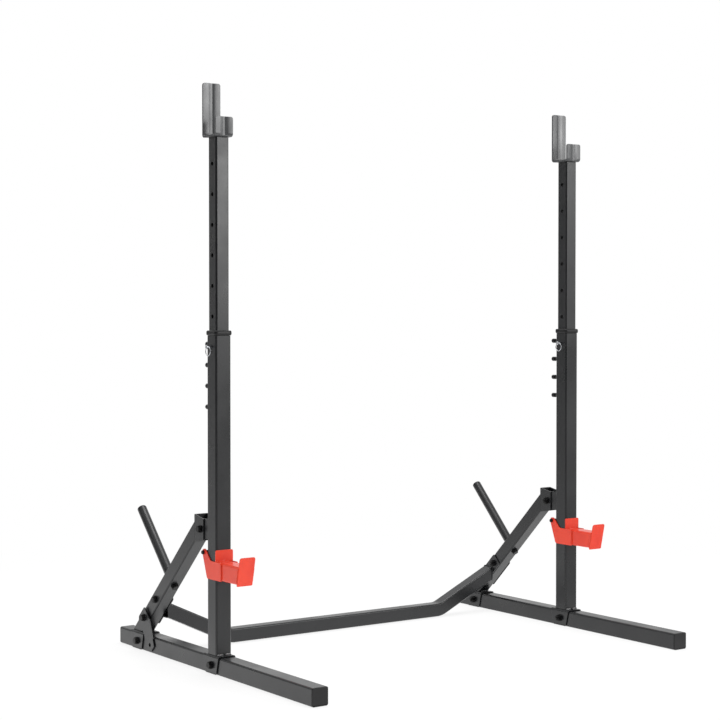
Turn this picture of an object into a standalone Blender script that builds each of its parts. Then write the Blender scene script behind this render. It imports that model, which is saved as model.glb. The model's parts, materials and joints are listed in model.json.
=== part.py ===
"""Two-post squat rack with telescoping uprights, cups on top, hook-on catches and storage pegs.

Metres, +Z up. X runs across the rack, the lifter stands in front, at -Y. The origin is on the
floor, at the middle of the footprint. The pieces are drawn about the line through both posts and
hang on an empty that puts them in their place behind or ahead of the origin.
"""

import math

import bmesh
import bpy
from mathutils import Matrix, Vector

# Overall layout
POST_SPACING = 1.166
BEAM_FRONT = 0.456
BEAM_REAR = 0.500
LOWER_POST_TOP = 0.848
GAP = 0.0003

# Square tube: 1 3/4 inch for beams, lower posts and catch arms, 1 1/2 inch for the rest
OUTER_TUBE = 0.0445
OUTER_WALL = 0.002
OUTER_CORNER = 0.005
SLIM_TUBE = 0.0381
SLIM_WALL = 0.002
SLIM_CORNER = 0.0045

# Plates
PLATE = 0.003
CATCH_PLATE = 0.0025
CUP_PLATE = 0.005

# Saddles that straddle the beams
SADDLE_TOP_LENGTH = 0.075
SADDLE_FOOT_LENGTH = 0.052
SADDLE_FLOOR_GAP = 0.0012
SADDLE_CORNER = 0.004
REAR_SADDLE_Y = 0.396

# Adjustment holes and locking pins
HOLE_PITCH = 0.0762
HOLE_COUNT = 7
PIN_RADIUS = 0.005
PIN_HOLE_RADIUS = 0.0055
PIN_BELOW_TOP = 0.0282
PIN_HANDLE = 0.015
PIN_TIP = 0.0035
RING_HOLE_RADIUS = 0.0023
RING_HOLE_OUT = 0.0095
RING_RADIUS = 0.01125
RING_WIRE = 0.0012
RING_DROP = 0.0002

# Upper posts
TOP_HOLE_TO_END = 0.0665
HIDDEN_LENGTH = 0.27

# Collar between the lower and upper post
COLLAR_HEIGHT = 0.0117
COLLAR_RIM = 0.003
COLLAR_ROUND = 0.0025
COLLAR_SLEEVE = 0.019

# Cups on top of the upper posts
CUP_WIDTH = 0.050
CUP_FRONT = 0.0285
CUP_REAR = 0.0385
CUP_LIP = 0.0495
CUP_BACK = 0.1385
CUP_BEND = 0.004
CUP_CORNER = 0.006

# Hook studs on the rear of the lower posts
STUD_PITCH = 0.053
STUD_COUNT = 4
STUD_TOP_BELOW_POST = 0.022
CATCH_STUD_Z = 0.2925
STUD_NECK_RADIUS = 0.004
STUD_NECK_LENGTH = 0.0248
STUD_HEAD_RADIUS = 0.0063
STUD_HEAD_LENGTH = 0.013

# Catches
CATCH_PIN_RADIUS = 0.005
CATCH_PIN_BEHIND = 0.0128
CATCH_PIN_OUT = 0.005
CATCH_ARM_DROP = 0.0192
CATCH_SIDE_AHEAD = 0.0230
CATCH_WEB_RISE = 0.0107
CATCH_WEB_CORNER = 0.004
CATCH_REACH = 0.1225
LIP_LEAN = math.radians(12.5)
LIP_BELOW_ARM = 0.0045
LIP_ABOVE_ARM = 0.0232
LIP_TOP_CORNER = 0.006
LIP_FOOT_CORNER = 0.003

# Braces
BRACE_Y = 0.1959
BRACE_Z = 0.25
BRACE_LEAN = math.radians(45.8)
HEAD_REAR = 0.0930
HEAD_FRONT = 0.0475
HEAD_REAR_TOP = 0.3935
HEAD_FRONT_TOP = 0.3840
HEAD_FRONT_FOOT = 0.3300
HEAD_REAR_FOOT = 0.3222
HEAD_CLEARANCE = 0.00035
PIVOT_Y = 0.064
PIVOT_Z = 0.357
BRACKET_BOTTOM = 0.334
BRACKET_TOP = 0.385
BRACKET_REAR = 0.080
BRACKET_CORNER = 0.012

# Crossbar between the braces
CROSSBAR_Y = 0.3280
CROSSBAR_FLOOR_GAP = 0.002
CROSSBAR_END_RUN = 0.219
CROSSBAR_RISE = math.radians(25)
CROSSBAR_BEND_RADIUS = 0.060
FLANGE_START = 0.130
FLANGE_END = 0.242
FLANGE_CORNER = 0.005
UPPER_BOLT_S = 0.150
LOWER_BOLT_S = 0.2262
LOWER_BOLT_ACROSS = -0.003

# Gussets: the left one hangs from the lower bolt, the right one lies along the brace
HANGING_GUSSETS = ("left",)
GUSSET_CLEARANCE = 0.0006
GUSSET_HOLE_Y = 0.3218
GUSSET_HOLE_Z = 0.0218
SPACER_RADIUS = 0.010

# Storage pegs
PEG_S = 0.0675
PEG_RADIUS = 0.0127
PEG_WALL = 0.002
PEG_LENGTH = 0.221
PEG_BASE = 0.022
PEG_CAP_ROUND = 0.0045
PEG_CAP_PLUG = 0.012

# M10 fasteners
BOLT_RADIUS = 0.005
BOLT_HOLE_RADIUS = 0.0055
HEX_ACROSS_FLATS = 0.016
HEAD_HEIGHT = 0.0064
NUT_HEIGHT = 0.008
WASHER_RADIUS = 0.010
WASHER_HEIGHT = 0.002
BOLT_END = 0.003

# End caps of the beams
CAP_HEIGHT = 0.003
CAP_PLUG = 0.012
CAP_WALL = 0.002

ROUND = 14
HOLE_ROUND = 10
STUD_ROUND = 10
PEG_ROUND = 16
BEND_STEPS = 3
SIDES = (("left", -1), ("right", 1))

# Sizes that follow from the ones above
HALF_OUTER = OUTER_TUBE / 2
HALF_SLIM = SLIM_TUBE / 2
POST_Y = (BEAM_FRONT - BEAM_REAR) / 2
SADDLE_TOP = OUTER_TUBE + GAP + PLATE
FOOT_Z = SADDLE_TOP + GAP
BEAM_BOLT_Z = OUTER_TUBE / 2
PIN_Z = LOWER_POST_TOP - PIN_BELOW_TOP
UPPER_POST_TOP = PIN_Z + (HOLE_COUNT - 1) * HOLE_PITCH + TOP_HOLE_TO_END
COLLAR_Z = LOWER_POST_TOP + GAP
CUP_Z = UPPER_POST_TOP + GAP
CATCH_PIN_Y = HALF_OUTER + CATCH_PIN_BEHIND
CATCH_PIN_Z = CATCH_STUD_Z + STUD_NECK_RADIUS + CATCH_PIN_RADIUS + GAP
ARM_TOP = CATCH_PIN_Z - CATCH_ARM_DROP
ARM_BOTTOM = ARM_TOP - OUTER_TUBE
WEB_REAR = -HALF_OUTER - GAP
WEB_FRONT = WEB_REAR - CATCH_PLATE
BRACE_DOWN = Vector((0, math.sin(BRACE_LEAN), -math.cos(BRACE_LEAN)))
BRACE_OUT = Vector((0, math.cos(BRACE_LEAN), math.sin(BRACE_LEAN)))
CROSSBAR_Z = HALF_SLIM + CROSSBAR_FLOOR_GAP
HEX_RADIUS = HEX_ACROSS_FLATS / 2 / math.cos(math.pi / 6)
CROSSBAR_BOLTS = ((UPPER_BOLT_S, 0), (LOWER_BOLT_S, LOWER_BOLT_ACROSS))

# Turns that lay an outline's plane across each axis
ACROSS = {
    "X": Matrix(((0, 0, 1), (1, 0, 0), (0, 1, 0))).to_4x4(),
    "Y": Matrix(((1, 0, 0), (0, 0, -1), (0, 1, 0))).to_4x4(),
    "Z": Matrix.Identity(4),
}


def clear_scene():
    for obj in list(bpy.data.objects):
        bpy.data.objects.remove(obj, do_unlink=True)


def collection(name):
    made = bpy.data.collections.new(name)
    bpy.context.scene.collection.children.link(made)
    return made


def material(name, colour, roughness, metallic):
    made = bpy.data.materials.new(name)
    made.use_nodes = True
    shader = made.node_tree.nodes["Principled BSDF"]
    shader.inputs["Base Color"].default_value = (*colour, 1)
    shader.inputs["Roughness"].default_value = roughness
    shader.inputs["Metallic"].default_value = metallic
    made.diffuse_color = (*colour, 1)
    return made


def empty(name, place, parent=None):
    made = bpy.data.objects.new(name, None)
    made.empty_display_size = 0.03
    PARTS.objects.link(made)
    made.parent = parent
    made.location = place
    return made


# Building solids

def link(name, data):
    obj = bpy.data.objects.new(name, data)
    PARTS.objects.link(obj)
    return obj


def settle(obj):
    """Turns an object with its modifiers into a plain welded mesh, with its place in the mesh."""
    graph = bpy.context.evaluated_depsgraph_get()
    mesh = bpy.data.meshes.new_from_object(obj.evaluated_get(graph))
    mesh.transform(obj.matrix_world)
    bm = bmesh.new()
    bm.from_mesh(mesh)
    bmesh.ops.remove_doubles(bm, verts=bm.verts, dist=1e-6)
    bmesh.ops.recalc_face_normals(bm, faces=bm.faces)
    bm.to_mesh(mesh)
    bm.free()
    name = obj.name
    bpy.data.objects.remove(obj, do_unlink=True)
    return link(name, mesh)


def rounded(points, radii, steps=3):
    """The outline through these corners, each rounded by its radius."""
    outline = []
    count = len(points)
    if not isinstance(radii, (list, tuple)):
        radii = [radii] * count
    for i, radius in enumerate(radii):
        corner = Vector(points[i])
        if radius == 0:
            outline.append(corner)
            continue
        before = (Vector(points[i - 1]) - corner).normalized()
        after = (Vector(points[(i + 1) % count]) - corner).normalized()
        half = before.angle(after) / 2
        centre = corner + (before + after).normalized() * radius / math.sin(half)
        start = corner + before * radius / math.tan(half) - centre
        end = corner + after * radius / math.tan(half) - centre
        turn = math.pi - 2 * half
        for k in range(steps + 1):
            share = k / steps
            spoke = start * math.sin((1 - share) * turn) + end * math.sin(share * turn)
            outline.append(centre + spoke / math.sin(turn))
    return outline


def rectangle(u0, u1, v0, v1, radius=0.0, steps=3):
    return rounded([(u0, v0), (u1, v0), (u1, v1), (u0, v1)], radius, steps)


def square(size, radius, steps=3):
    return rectangle(-size / 2, size / 2, -size / 2, size / 2, radius, steps)


def flat_curve(name, loops, half_depth, bevel=0.0):
    curve = bpy.data.curves.new(name, "CURVE")
    curve.dimensions = "2D"
    curve.fill_mode = "BOTH"
    curve.extrude = half_depth
    curve.bevel_depth = bevel
    curve.bevel_resolution = 1
    for loop in loops:
        spline = curve.splines.new("POLY")
        spline.points.add(len(loop) - 1)
        for point, corner in zip(spline.points, loop):
            point.co = (corner[0], corner[1], 0, 1)
        spline.use_cyclic_u = True
    return link(name, curve)


def prism(name, loops, axis, low, high):
    """A flat outline, with any holes in it, drawn out along X, Y or Z from low to high."""
    low, high = sorted((low, high))
    obj = flat_curve(name, loops, (high - low) / 2)
    shift = Vector([(low + high) / 2 if letter == axis else 0 for letter in "XYZ"])
    obj.matrix_world = Matrix.Translation(shift) @ ACROSS[axis]
    return settle(obj)


def box(name, xs, ys, zs):
    bm = bmesh.new()
    bmesh.ops.create_cube(bm, size=1)
    mesh = bpy.data.meshes.new(name)
    bm.to_mesh(mesh)
    bm.free()
    low, high = zip(sorted(xs), sorted(ys), sorted(zs))
    size = Vector(high) - Vector(low)
    mesh.transform(Matrix.Translation(Vector(low) + size / 2) @ Matrix.Diagonal((*size, 1)))
    return link(name, mesh)


def aimed(start, direction):
    """The frame whose Z axis runs along the direction, with its X axis level."""
    z = Vector(direction).normalized()
    x = Vector((0, 0, 1)) if abs(z.x) > 0.99 else Vector((1, 0, 0))
    y = z.cross(x)
    turn = Matrix((x, y, z)).transposed()
    return Matrix.Translation(start) @ turn.to_4x4()


def rod(name, start, end, radius, segments=ROUND):
    length = (Vector(end) - Vector(start)).length
    bm = bmesh.new()
    bmesh.ops.create_cone(
        bm, cap_ends=True, segments=segments, radius1=radius, radius2=radius, depth=length
    )
    mesh = bpy.data.meshes.new(name)
    bm.to_mesh(mesh)
    bm.free()
    middle = (Vector(start) + Vector(end)) / 2
    mesh.transform(aimed(middle, Vector(end) - Vector(start)))
    return link(name, mesh)


def turned(name, profile, start, direction, steps=ROUND):
    """Radius and height points, from the top down the outer side, turned about a line."""
    mesh = bpy.data.meshes.new(name)
    count = len(profile)
    closed = min(radius for radius, height in profile) > 0
    edges = [(i, (i + 1) % count) for i in range(count if closed else count - 1)]
    mesh.from_pydata([(radius, 0, height) for radius, height in profile], edges, [])
    obj = link(name, mesh)
    screw = obj.modifiers.new("turn", "SCREW")
    screw.steps = steps
    screw.render_steps = steps
    screw.use_merge_vertices = True
    screw.merge_threshold = 1e-5
    obj.matrix_world = aimed(start, direction)
    return settle(obj)


def tube(name, size, wall, corner, start, end):
    """A square tube with rounded edges between two points."""
    length = (Vector(end) - Vector(start)).length
    loops = [square(size, corner), square(size - 2 * wall, corner - wall)]
    obj = flat_curve(name, loops, length / 2)
    middle = (Vector(start) + Vector(end)) / 2
    obj.matrix_world = aimed(middle, Vector(end) - Vector(start))
    return settle(obj)


def swept(name, path, size, corner):
    """A square bar with rounded edges along a path."""
    section = bpy.data.curves.new(name + "_section", "CURVE")
    section.dimensions = "2D"
    loop = section.splines.new("POLY")
    outline = square(size, corner)
    loop.points.add(len(outline) - 1)
    for point, place in zip(loop.points, outline):
        point.co = (place[0], place[1], 0, 1)
    loop.use_cyclic_u = True
    guide = link(name + "_section", section)
    curve = bpy.data.curves.new(name, "CURVE")
    curve.dimensions = "3D"
    curve.twist_mode = "Z_UP"
    curve.bevel_mode = "OBJECT"
    curve.bevel_object = guide
    curve.use_fill_caps = True
    spline = curve.splines.new("POLY")
    spline.points.add(len(path) - 1)
    for point, place in zip(spline.points, path):
        point.co = (*place, 1)
    made = settle(link(name, curve))
    bpy.data.objects.remove(guide, do_unlink=True)
    return made


def together(pieces):
    """One object from pieces that lie apart, for a single cut or join."""
    if len(pieces) == 1:
        return pieces[0]
    bm = bmesh.new()
    name = pieces[0].name
    for piece in [settle(piece) for piece in pieces]:
        bm.from_mesh(piece.data)
        bpy.data.objects.remove(piece, do_unlink=True)
    mesh = bpy.data.meshes.new(name)
    bm.to_mesh(mesh)
    bm.free()
    return link(name, mesh)


def change(obj, operation, others):
    """Cuts, joins or crops an object with others, which go to the cutters' collection."""
    other = together(others)
    PARTS.objects.unlink(other)
    CUTTERS.objects.link(other)
    other.display_type = "WIRE"
    other.hide_render = True
    modifier = obj.modifiers.new(operation.lower(), "BOOLEAN")
    modifier.operation = operation
    modifier.solver = "EXACT"
    modifier.object = other
    return obj


def cut(obj, *cutters):
    return change(obj, "DIFFERENCE", cutters)


def fuse(obj, *others):
    return change(obj, "UNION", others)


def crop(obj, *masks):
    return change(obj, "INTERSECT", masks)


def finish(obj, look, parent):
    """Gives a piece its material and its parent, with its origin on the parent."""
    made = settle(obj)
    bpy.context.view_layer.update()
    place = parent.matrix_world.translation - FRAME.matrix_world.translation
    made.data.transform(Matrix.Translation(-place))
    made.data.materials.clear()
    made.data.materials.append(look)
    made.data.shade_smooth()
    made.data.set_sharp_from_angle(angle=math.radians(32))
    made.parent = parent
    return made


def bore(name, start, end, radius, segments=HOLE_ROUND):
    """A cutter for a round hole that runs past both faces."""
    past = (Vector(end) - Vector(start)).normalized() * 0.004
    return rod(name, Vector(start) - past, Vector(end) + past, radius, segments)


def on_brace(s, across=0.0, x=0.0):
    """A point s down the brace from its reference point and across it, up and back."""
    return Vector((x, BRACE_Y, BRACE_Z)) + BRACE_DOWN * s + BRACE_OUT * across


def flat(point):
    return point.y, point.z


# Fasteners

def bolt(name, head_face, far_face, nut=True, washers=(True, True)):
    """A hex bolt with its washers and its nut, tightened on two clamped faces into one piece."""
    start = Vector(head_face)
    along = (Vector(far_face) - start).normalized()
    grip = (Vector(far_face) - start).length + 2 * GAP
    low = WASHER_HEIGHT if washers[0] else 0
    high = WASHER_HEIGHT if washers[1] else 0
    profile = [(0, grip + high + (NUT_HEIGHT + BOLT_END if nut else 0))]
    profile.append((BOLT_RADIUS, profile[0][1]))
    if high:
        profile += [
            (BOLT_RADIUS, grip + high), (WASHER_RADIUS, grip + high),
            (WASHER_RADIUS, grip), (BOLT_RADIUS, grip),
        ]
    if low:
        profile += [(BOLT_RADIUS, 0), (WASHER_RADIUS, 0), (WASHER_RADIUS, -low), (BOLT_RADIUS, -low)]
    profile += [(BOLT_RADIUS, -low - HEAD_HEIGHT / 2), (0, -low - HEAD_HEIGHT / 2)]
    origin = start - along * GAP
    shank = turned(name, profile, origin, along)
    overlap_low = WASHER_HEIGHT / 2 if washers[0] else 0
    head = (origin - along * (low + HEAD_HEIGHT), origin - along * (low - overlap_low))
    fuse(shank, rod(name + "_head", *head, HEX_RADIUS, 6))
    if nut:
        overlap_high = WASHER_HEIGHT / 2 if washers[1] else 0
        seat = origin + along * (grip + high)
        ends = (seat - along * overlap_high, seat + along * NUT_HEIGHT)
        fuse(shank, rod(name + "_nut", *ends, HEX_RADIUS, 6))
    return shank


# Base beams and their caps

def base_beam(side, x):
    beam = tube(
        f"base_beam_{side}", OUTER_TUBE, OUTER_WALL, OUTER_CORNER,
        (x, -BEAM_FRONT + CAP_HEIGHT + GAP, HALF_OUTER),
        (x, BEAM_REAR - CAP_HEIGHT - GAP, HALF_OUTER),
    )
    holes = []
    for y in (0, REAR_SADDLE_Y):
        start = (x - HALF_OUTER, y, BEAM_BOLT_Z)
        end = (x + HALF_OUTER, y, BEAM_BOLT_Z)
        holes.append(bore(f"beam_bolt_hole_{side}", start, end, BOLT_HOLE_RADIUS))
    return cut(beam, *holes)


def end_cap(name, x, end, inward):
    """A plastic cap, as wide as the beam, with a hollow plug inside the beam."""
    cover = prism(
        name, [[(x + u, v + HALF_OUTER) for u, v in square(OUTER_TUBE, OUTER_CORNER)]],
        "Y", end, end + inward * CAP_HEIGHT,
    )
    plug_size = OUTER_TUBE - 2 * OUTER_WALL - 2 * GAP
    plug_corner = OUTER_CORNER - OUTER_WALL - GAP
    outer = [(x + u, v + HALF_OUTER) for u, v in square(plug_size, plug_corner)]
    inner = [(x + u, v + HALF_OUTER) for u, v in square(plug_size - 2 * CAP_WALL, 0.001)]
    overlap = CAP_HEIGHT / 2
    plug = prism(
        name + "_plug", [outer, inner],
        "Y", end + inward * overlap, end + inward * (CAP_HEIGHT + CAP_PLUG),
    )
    return fuse(cover, plug)


# Saddles

def saddle(name, x, y):
    """A folded plate over the beam, its side plates tapered towards the floor."""
    inner = HALF_OUTER + GAP
    outer = inner + PLATE
    roof = OUTER_TUBE + GAP
    below = -0.01
    corners = [
        (x - outer, below), (x - outer, SADDLE_TOP), (x + outer, SADDLE_TOP), (x + outer, below),
        (x + inner, below), (x + inner, roof), (x - inner, roof), (x - inner, below),
    ]
    bend = OUTER_CORNER - GAP
    radii = [0, bend + PLATE / 2, bend + PLATE / 2, 0, 0, bend, bend, 0]
    half_top = SADDLE_TOP_LENGTH / 2
    half_foot = SADDLE_FOOT_LENGTH / 2
    channel = prism(name, [rounded(corners, radii, 3)], "Y", y - half_top - 0.01, y + half_top + 0.01)
    above = SADDLE_TOP + 0.01
    side_view = rounded(
        [
            (y - half_foot, SADDLE_FLOOR_GAP), (y + half_foot, SADDLE_FLOOR_GAP),
            (y + half_top, SADDLE_TOP), (y + half_top, above),
            (y - half_top, above), (y - half_top, SADDLE_TOP),
        ],
        [SADDLE_CORNER, SADDLE_CORNER, 0, 0, 0, 0],
    )
    crop(channel, prism(name + "_side_view", [side_view], "X", x - outer - 0.01, x + outer + 0.01))
    hole = bore(
        name + "_hole", (x - outer, y, BEAM_BOLT_Z), (x + outer, y, BEAM_BOLT_Z), BOLT_HOLE_RADIUS
    )
    return cut(channel, hole)


# Posts

def lower_post(side, x):
    post = tube(
        f"lower_post_{side}", OUTER_TUBE, OUTER_WALL, OUTER_CORNER,
        (x, 0, FOOT_Z), (x, 0, LOWER_POST_TOP),
    )
    start = (x - HALF_OUTER, 0, PIN_Z)
    end = (x + HALF_OUTER, 0, PIN_Z)
    cut(post, bore(f"lower_post_hole_{side}", start, end, PIN_HOLE_RADIUS))
    return fuse(post, *hook_studs(side, x))


def upper_post(side, x):
    post = tube(
        f"upper_post_{side}", SLIM_TUBE, SLIM_WALL, SLIM_CORNER,
        (x, 0, PIN_Z - HIDDEN_LENGTH), (x, 0, UPPER_POST_TOP),
    )
    holes = []
    for k in range(HOLE_COUNT):
        z = PIN_Z + k * HOLE_PITCH
        start = (x - HALF_SLIM, 0, z)
        end = (x + HALF_SLIM, 0, z)
        holes.append(bore(f"upper_post_hole_{side}_{k}", start, end, PIN_HOLE_RADIUS))
    return cut(post, *holes)


def post_collar(side, x):
    """A moulded collar: a rounded rim on the lower post and a sleeve inside it."""
    name = f"post_collar_{side}"
    rim_size = OUTER_TUBE + 2 * (COLLAR_RIM - COLLAR_ROUND)
    flange = flat_curve(
        name, [square(rim_size, OUTER_CORNER)], COLLAR_HEIGHT / 2 - COLLAR_ROUND, COLLAR_ROUND
    )
    flange.matrix_world = Matrix.Translation((x, 0, COLLAR_Z + COLLAR_HEIGHT / 2))
    flange = settle(flange)
    sleeve_size = OUTER_TUBE - 2 * OUTER_WALL - 2 * GAP
    sleeve = prism(
        name + "_sleeve",
        [[(x + u, v) for u, v in square(sleeve_size, OUTER_CORNER - OUTER_WALL - GAP)]],
        "Z", COLLAR_Z - COLLAR_SLEEVE, COLLAR_Z + COLLAR_HEIGHT / 2,
    )
    fuse(flange, sleeve)
    opening = [[(x + u, v) for u, v in square(SLIM_TUBE + 2 * GAP, SLIM_CORNER + GAP)]]
    low = COLLAR_Z - COLLAR_SLEEVE - 0.01
    return cut(flange, prism(name + "_bore", opening, "Z", low, COLLAR_Z + COLLAR_HEIGHT + 0.01))


def j_cup(side, x):
    """A thick plate bent to a trough, with a low front lip and a tall back."""
    name = f"j_cup_{side}"
    floor = CUP_Z + CUP_PLATE
    lip_top = CUP_Z + CUP_LIP
    back_top = CUP_Z + CUP_BACK
    bend = CUP_BEND
    corners = [
        (-CUP_FRONT, lip_top), (-CUP_FRONT, CUP_Z), (CUP_REAR, CUP_Z), (CUP_REAR, back_top),
        (CUP_REAR - CUP_PLATE, back_top), (CUP_REAR - CUP_PLATE, floor),
        (CUP_PLATE - CUP_FRONT, floor), (CUP_PLATE - CUP_FRONT, lip_top),
    ]
    radii = [0, bend + CUP_PLATE, bend + CUP_PLATE, 0, 0, bend, bend, 0]
    half = CUP_WIDTH / 2
    cup = prism(name, [rounded(corners, radii)], "X", x - half, x + half)
    corners = []
    for sign in (-1, 1):
        edge = x + sign * half
        corners.append(corner_cutter(name, edge, sign, lip_top, -CUP_FRONT))
        corners.append(corner_cutter(name, edge, sign, back_top, CUP_REAR - CUP_PLATE))
    return cut(cup, *corners)


def corner_cutter(name, edge, sign, top, face):
    """Rounds one upper corner of a cup plate, seen from the front."""
    radius = CUP_CORNER
    past = 0.004
    arc = rounded([(edge - sign * radius, top), (edge, top), (edge, top - radius)], [0, radius, 0])
    outline = arc + [
        Vector((edge + sign * past, top - radius)),
        Vector((edge + sign * past, top + past)),
        Vector((edge - sign * radius, top + past)),
    ]
    return prism(name + "_corner", [outline], "Y", face - past, face + CUP_PLATE + past)


def hook_studs(side, x):
    """Headed studs welded to the rear of the lower post, four high up and one for the catch."""
    heights = [LOWER_POST_TOP - STUD_TOP_BELOW_POST - k * STUD_PITCH for k in range(STUD_COUNT)]
    heights.append(CATCH_STUD_Z)
    head_round = 0.003
    neck_end = STUD_NECK_LENGTH
    end = STUD_NECK_LENGTH + STUD_HEAD_LENGTH
    profile = [(0, end)]
    for k in range(3):
        turn = math.pi / 4 * k
        profile.append(
            (
                STUD_HEAD_RADIUS - head_round + head_round * math.sin(turn),
                end - head_round + head_round * math.cos(turn),
            )
        )
    profile += [
        (STUD_HEAD_RADIUS, neck_end + 0.001),
        (STUD_HEAD_RADIUS - 0.001, neck_end),
        (STUD_NECK_RADIUS, neck_end),
        (STUD_NECK_RADIUS, -OUTER_WALL / 2),
        (0, -OUTER_WALL / 2),
    ]
    return [
        turned(f"hook_stud_{side}_{k}", profile, (x, HALF_OUTER, z), (0, 1, 0), STUD_ROUND)
        for k, z in enumerate(heights)
    ]


# Locking pins with their pull rings

def locking_pin(side, x):
    """A round pin through both posts, with a rounded tip and a cross hole for its ring."""
    name = f"locking_pin_{side}"
    handle_end = x - HALF_OUTER - PIN_HANDLE
    length = PIN_HANDLE + OUTER_TUBE + PIN_TIP
    edge = 0.001
    nose = 0.0015
    profile = [
        (0, length),
        (PIN_RADIUS - 2 * nose, length),
        (PIN_RADIUS - nose * 0.7, length - nose * 0.6),
        (PIN_RADIUS, length - nose * 1.8),
        (PIN_RADIUS, edge),
        (PIN_RADIUS - edge, 0),
        (0, 0),
    ]
    pin = turned(name, profile, (handle_end, 0, PIN_Z), (1, 0, 0))
    hole_x = x - HALF_OUTER - RING_HOLE_OUT
    start = (hole_x, -PIN_RADIUS, PIN_Z)
    end = (hole_x, PIN_RADIUS, PIN_Z)
    return cut(pin, bore(name + "_ring_hole", start, end, RING_HOLE_RADIUS, 16))


def pin_ring(side, x):
    """A wire ring that hangs in the pin's cross hole."""
    bpy.ops.mesh.primitive_torus_add(
        major_radius=RING_RADIUS, minor_radius=RING_WIRE, major_segments=20, minor_segments=6
    )
    ring = bpy.context.object
    ring.name = f"pin_ring_{side}"
    for holder in list(ring.users_collection):
        holder.objects.unlink(ring)
    PARTS.objects.link(ring)
    sag = RING_RADIUS - math.sqrt(RING_RADIUS**2 - PIN_RADIUS**2)
    centre = PIN_Z + sag / 2 - RING_DROP - RING_RADIUS
    hole_x = x - HALF_OUTER - RING_HOLE_OUT
    ring.matrix_world = Matrix.Translation((hole_x, 0, centre)) @ Matrix.Rotation(math.pi / 2, 4, "Y")
    return settle(ring)


# Catches

def catch_hook(side, x):
    """Two side plates round the post, joined by a web in front of it."""
    name = f"catch_hook_{side}"
    inner = HALF_OUTER + GAP
    outer = inner + CATCH_PLATE
    rear = CATCH_PIN_Y
    top = CATCH_PIN_Z + 0.0092
    side_bottom = ARM_BOTTOM - 0.0005
    side_top = ARM_TOP + 0.0010
    front = WEB_FRONT - CATCH_SIDE_AHEAD
    outline = rounded(
        [
            (front, side_bottom), (rear - 0.0188, side_bottom), (rear - 0.0150, side_bottom + 0.004),
            (rear + 0.0105, top), (rear - 0.0080, top), (rear - 0.0327, side_top),
            (front, side_top),
        ],
        [0.001, 0, 0, 0.0085, 0.008, 0.012, 0.001],
    )
    web_top = CATCH_PIN_Z + CATCH_WEB_RISE
    corners = [(x - outer, side_bottom), (x + outer, side_bottom), (x + outer, web_top), (x - outer, web_top)]
    radii = [0, 0, CATCH_WEB_CORNER, CATCH_WEB_CORNER]
    hook = prism(name, [rounded(corners, radii)], "Y", WEB_FRONT, WEB_REAR)
    plates = [
        prism(name + "_side_plate", [outline], "X", x + sign * inner, x + sign * outer)
        for sign in (-1, 1)
    ]
    fuse(hook, *plates)
    start = (x - outer, CATCH_PIN_Y, CATCH_PIN_Z)
    end = (x + outer, CATCH_PIN_Y, CATCH_PIN_Z)
    return cut(hook, bore(name + "_pin_hole", start, end, CATCH_PIN_RADIUS + GAP))


def lip_front(z):
    """How far ahead of the posts the front face of the lip is at a height."""
    foot = ARM_BOTTOM - LIP_BELOW_ARM
    return -CATCH_REACH - (z - foot) * math.tan(LIP_LEAN)


def catch_arm(side, x):
    """A square tube from the web to the leaning lip."""
    name = f"catch_arm_{side}"
    z = (ARM_TOP + ARM_BOTTOM) / 2
    arm = tube(
        name, OUTER_TUBE, OUTER_WALL, OUTER_CORNER,
        (x, -CATCH_REACH - 0.05, z), (x, WEB_FRONT - GAP, z),
    )
    behind = PLATE / math.cos(LIP_LEAN) + GAP
    low = ARM_BOTTOM - 0.02
    high = ARM_TOP + 0.02
    ahead = -CATCH_REACH - 0.1
    outline = [
        (ahead, low), (lip_front(low) + behind, low),
        (lip_front(high) + behind, high), (ahead, high),
    ]
    return cut(arm, prism(name + "_mitre", [outline], "X", x - 0.04, x + 0.04))


def catch_lip(side, x):
    """The leaning plate at the end of the arm."""
    name = f"catch_lip_{side}"
    low = ARM_BOTTOM - LIP_BELOW_ARM
    high = ARM_TOP + LIP_ABOVE_ARM
    behind = PLATE / math.cos(LIP_LEAN)
    below = low - 0.01
    above = high + 0.01
    outline = [
        (lip_front(below), below), (lip_front(below) + behind, below),
        (lip_front(above) + behind, above), (lip_front(above), above),
    ]
    lip = prism(name, [outline], "X", x - HALF_OUTER - 0.01, x + HALF_OUTER + 0.01)
    front_view = rounded(
        [
            (x - HALF_OUTER, low), (x + HALF_OUTER, low),
            (x + HALF_OUTER, high), (x - HALF_OUTER, high),
        ],
        [LIP_FOOT_CORNER, LIP_FOOT_CORNER, LIP_TOP_CORNER, LIP_TOP_CORNER],
    )
    return crop(lip, prism(name + "_front_view", [front_view], "Y", lip_front(above) - 0.02, -0.05))


def catch_cross_pin(side, x):
    """The pin through the ears, which hangs the catch on its stud."""
    half = HALF_OUTER + GAP + CATCH_PLATE + CATCH_PIN_OUT
    edge = 0.001
    profile = [
        (0, 2 * half), (CATCH_PIN_RADIUS - edge, 2 * half), (CATCH_PIN_RADIUS, 2 * half - edge),
        (CATCH_PIN_RADIUS, edge), (CATCH_PIN_RADIUS - edge, 0), (0, 0),
    ]
    start = (x - half, CATCH_PIN_Y, CATCH_PIN_Z)
    return turned(f"catch_cross_pin_{side}", profile, start, (1, 0, 0))


# Braces

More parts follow.
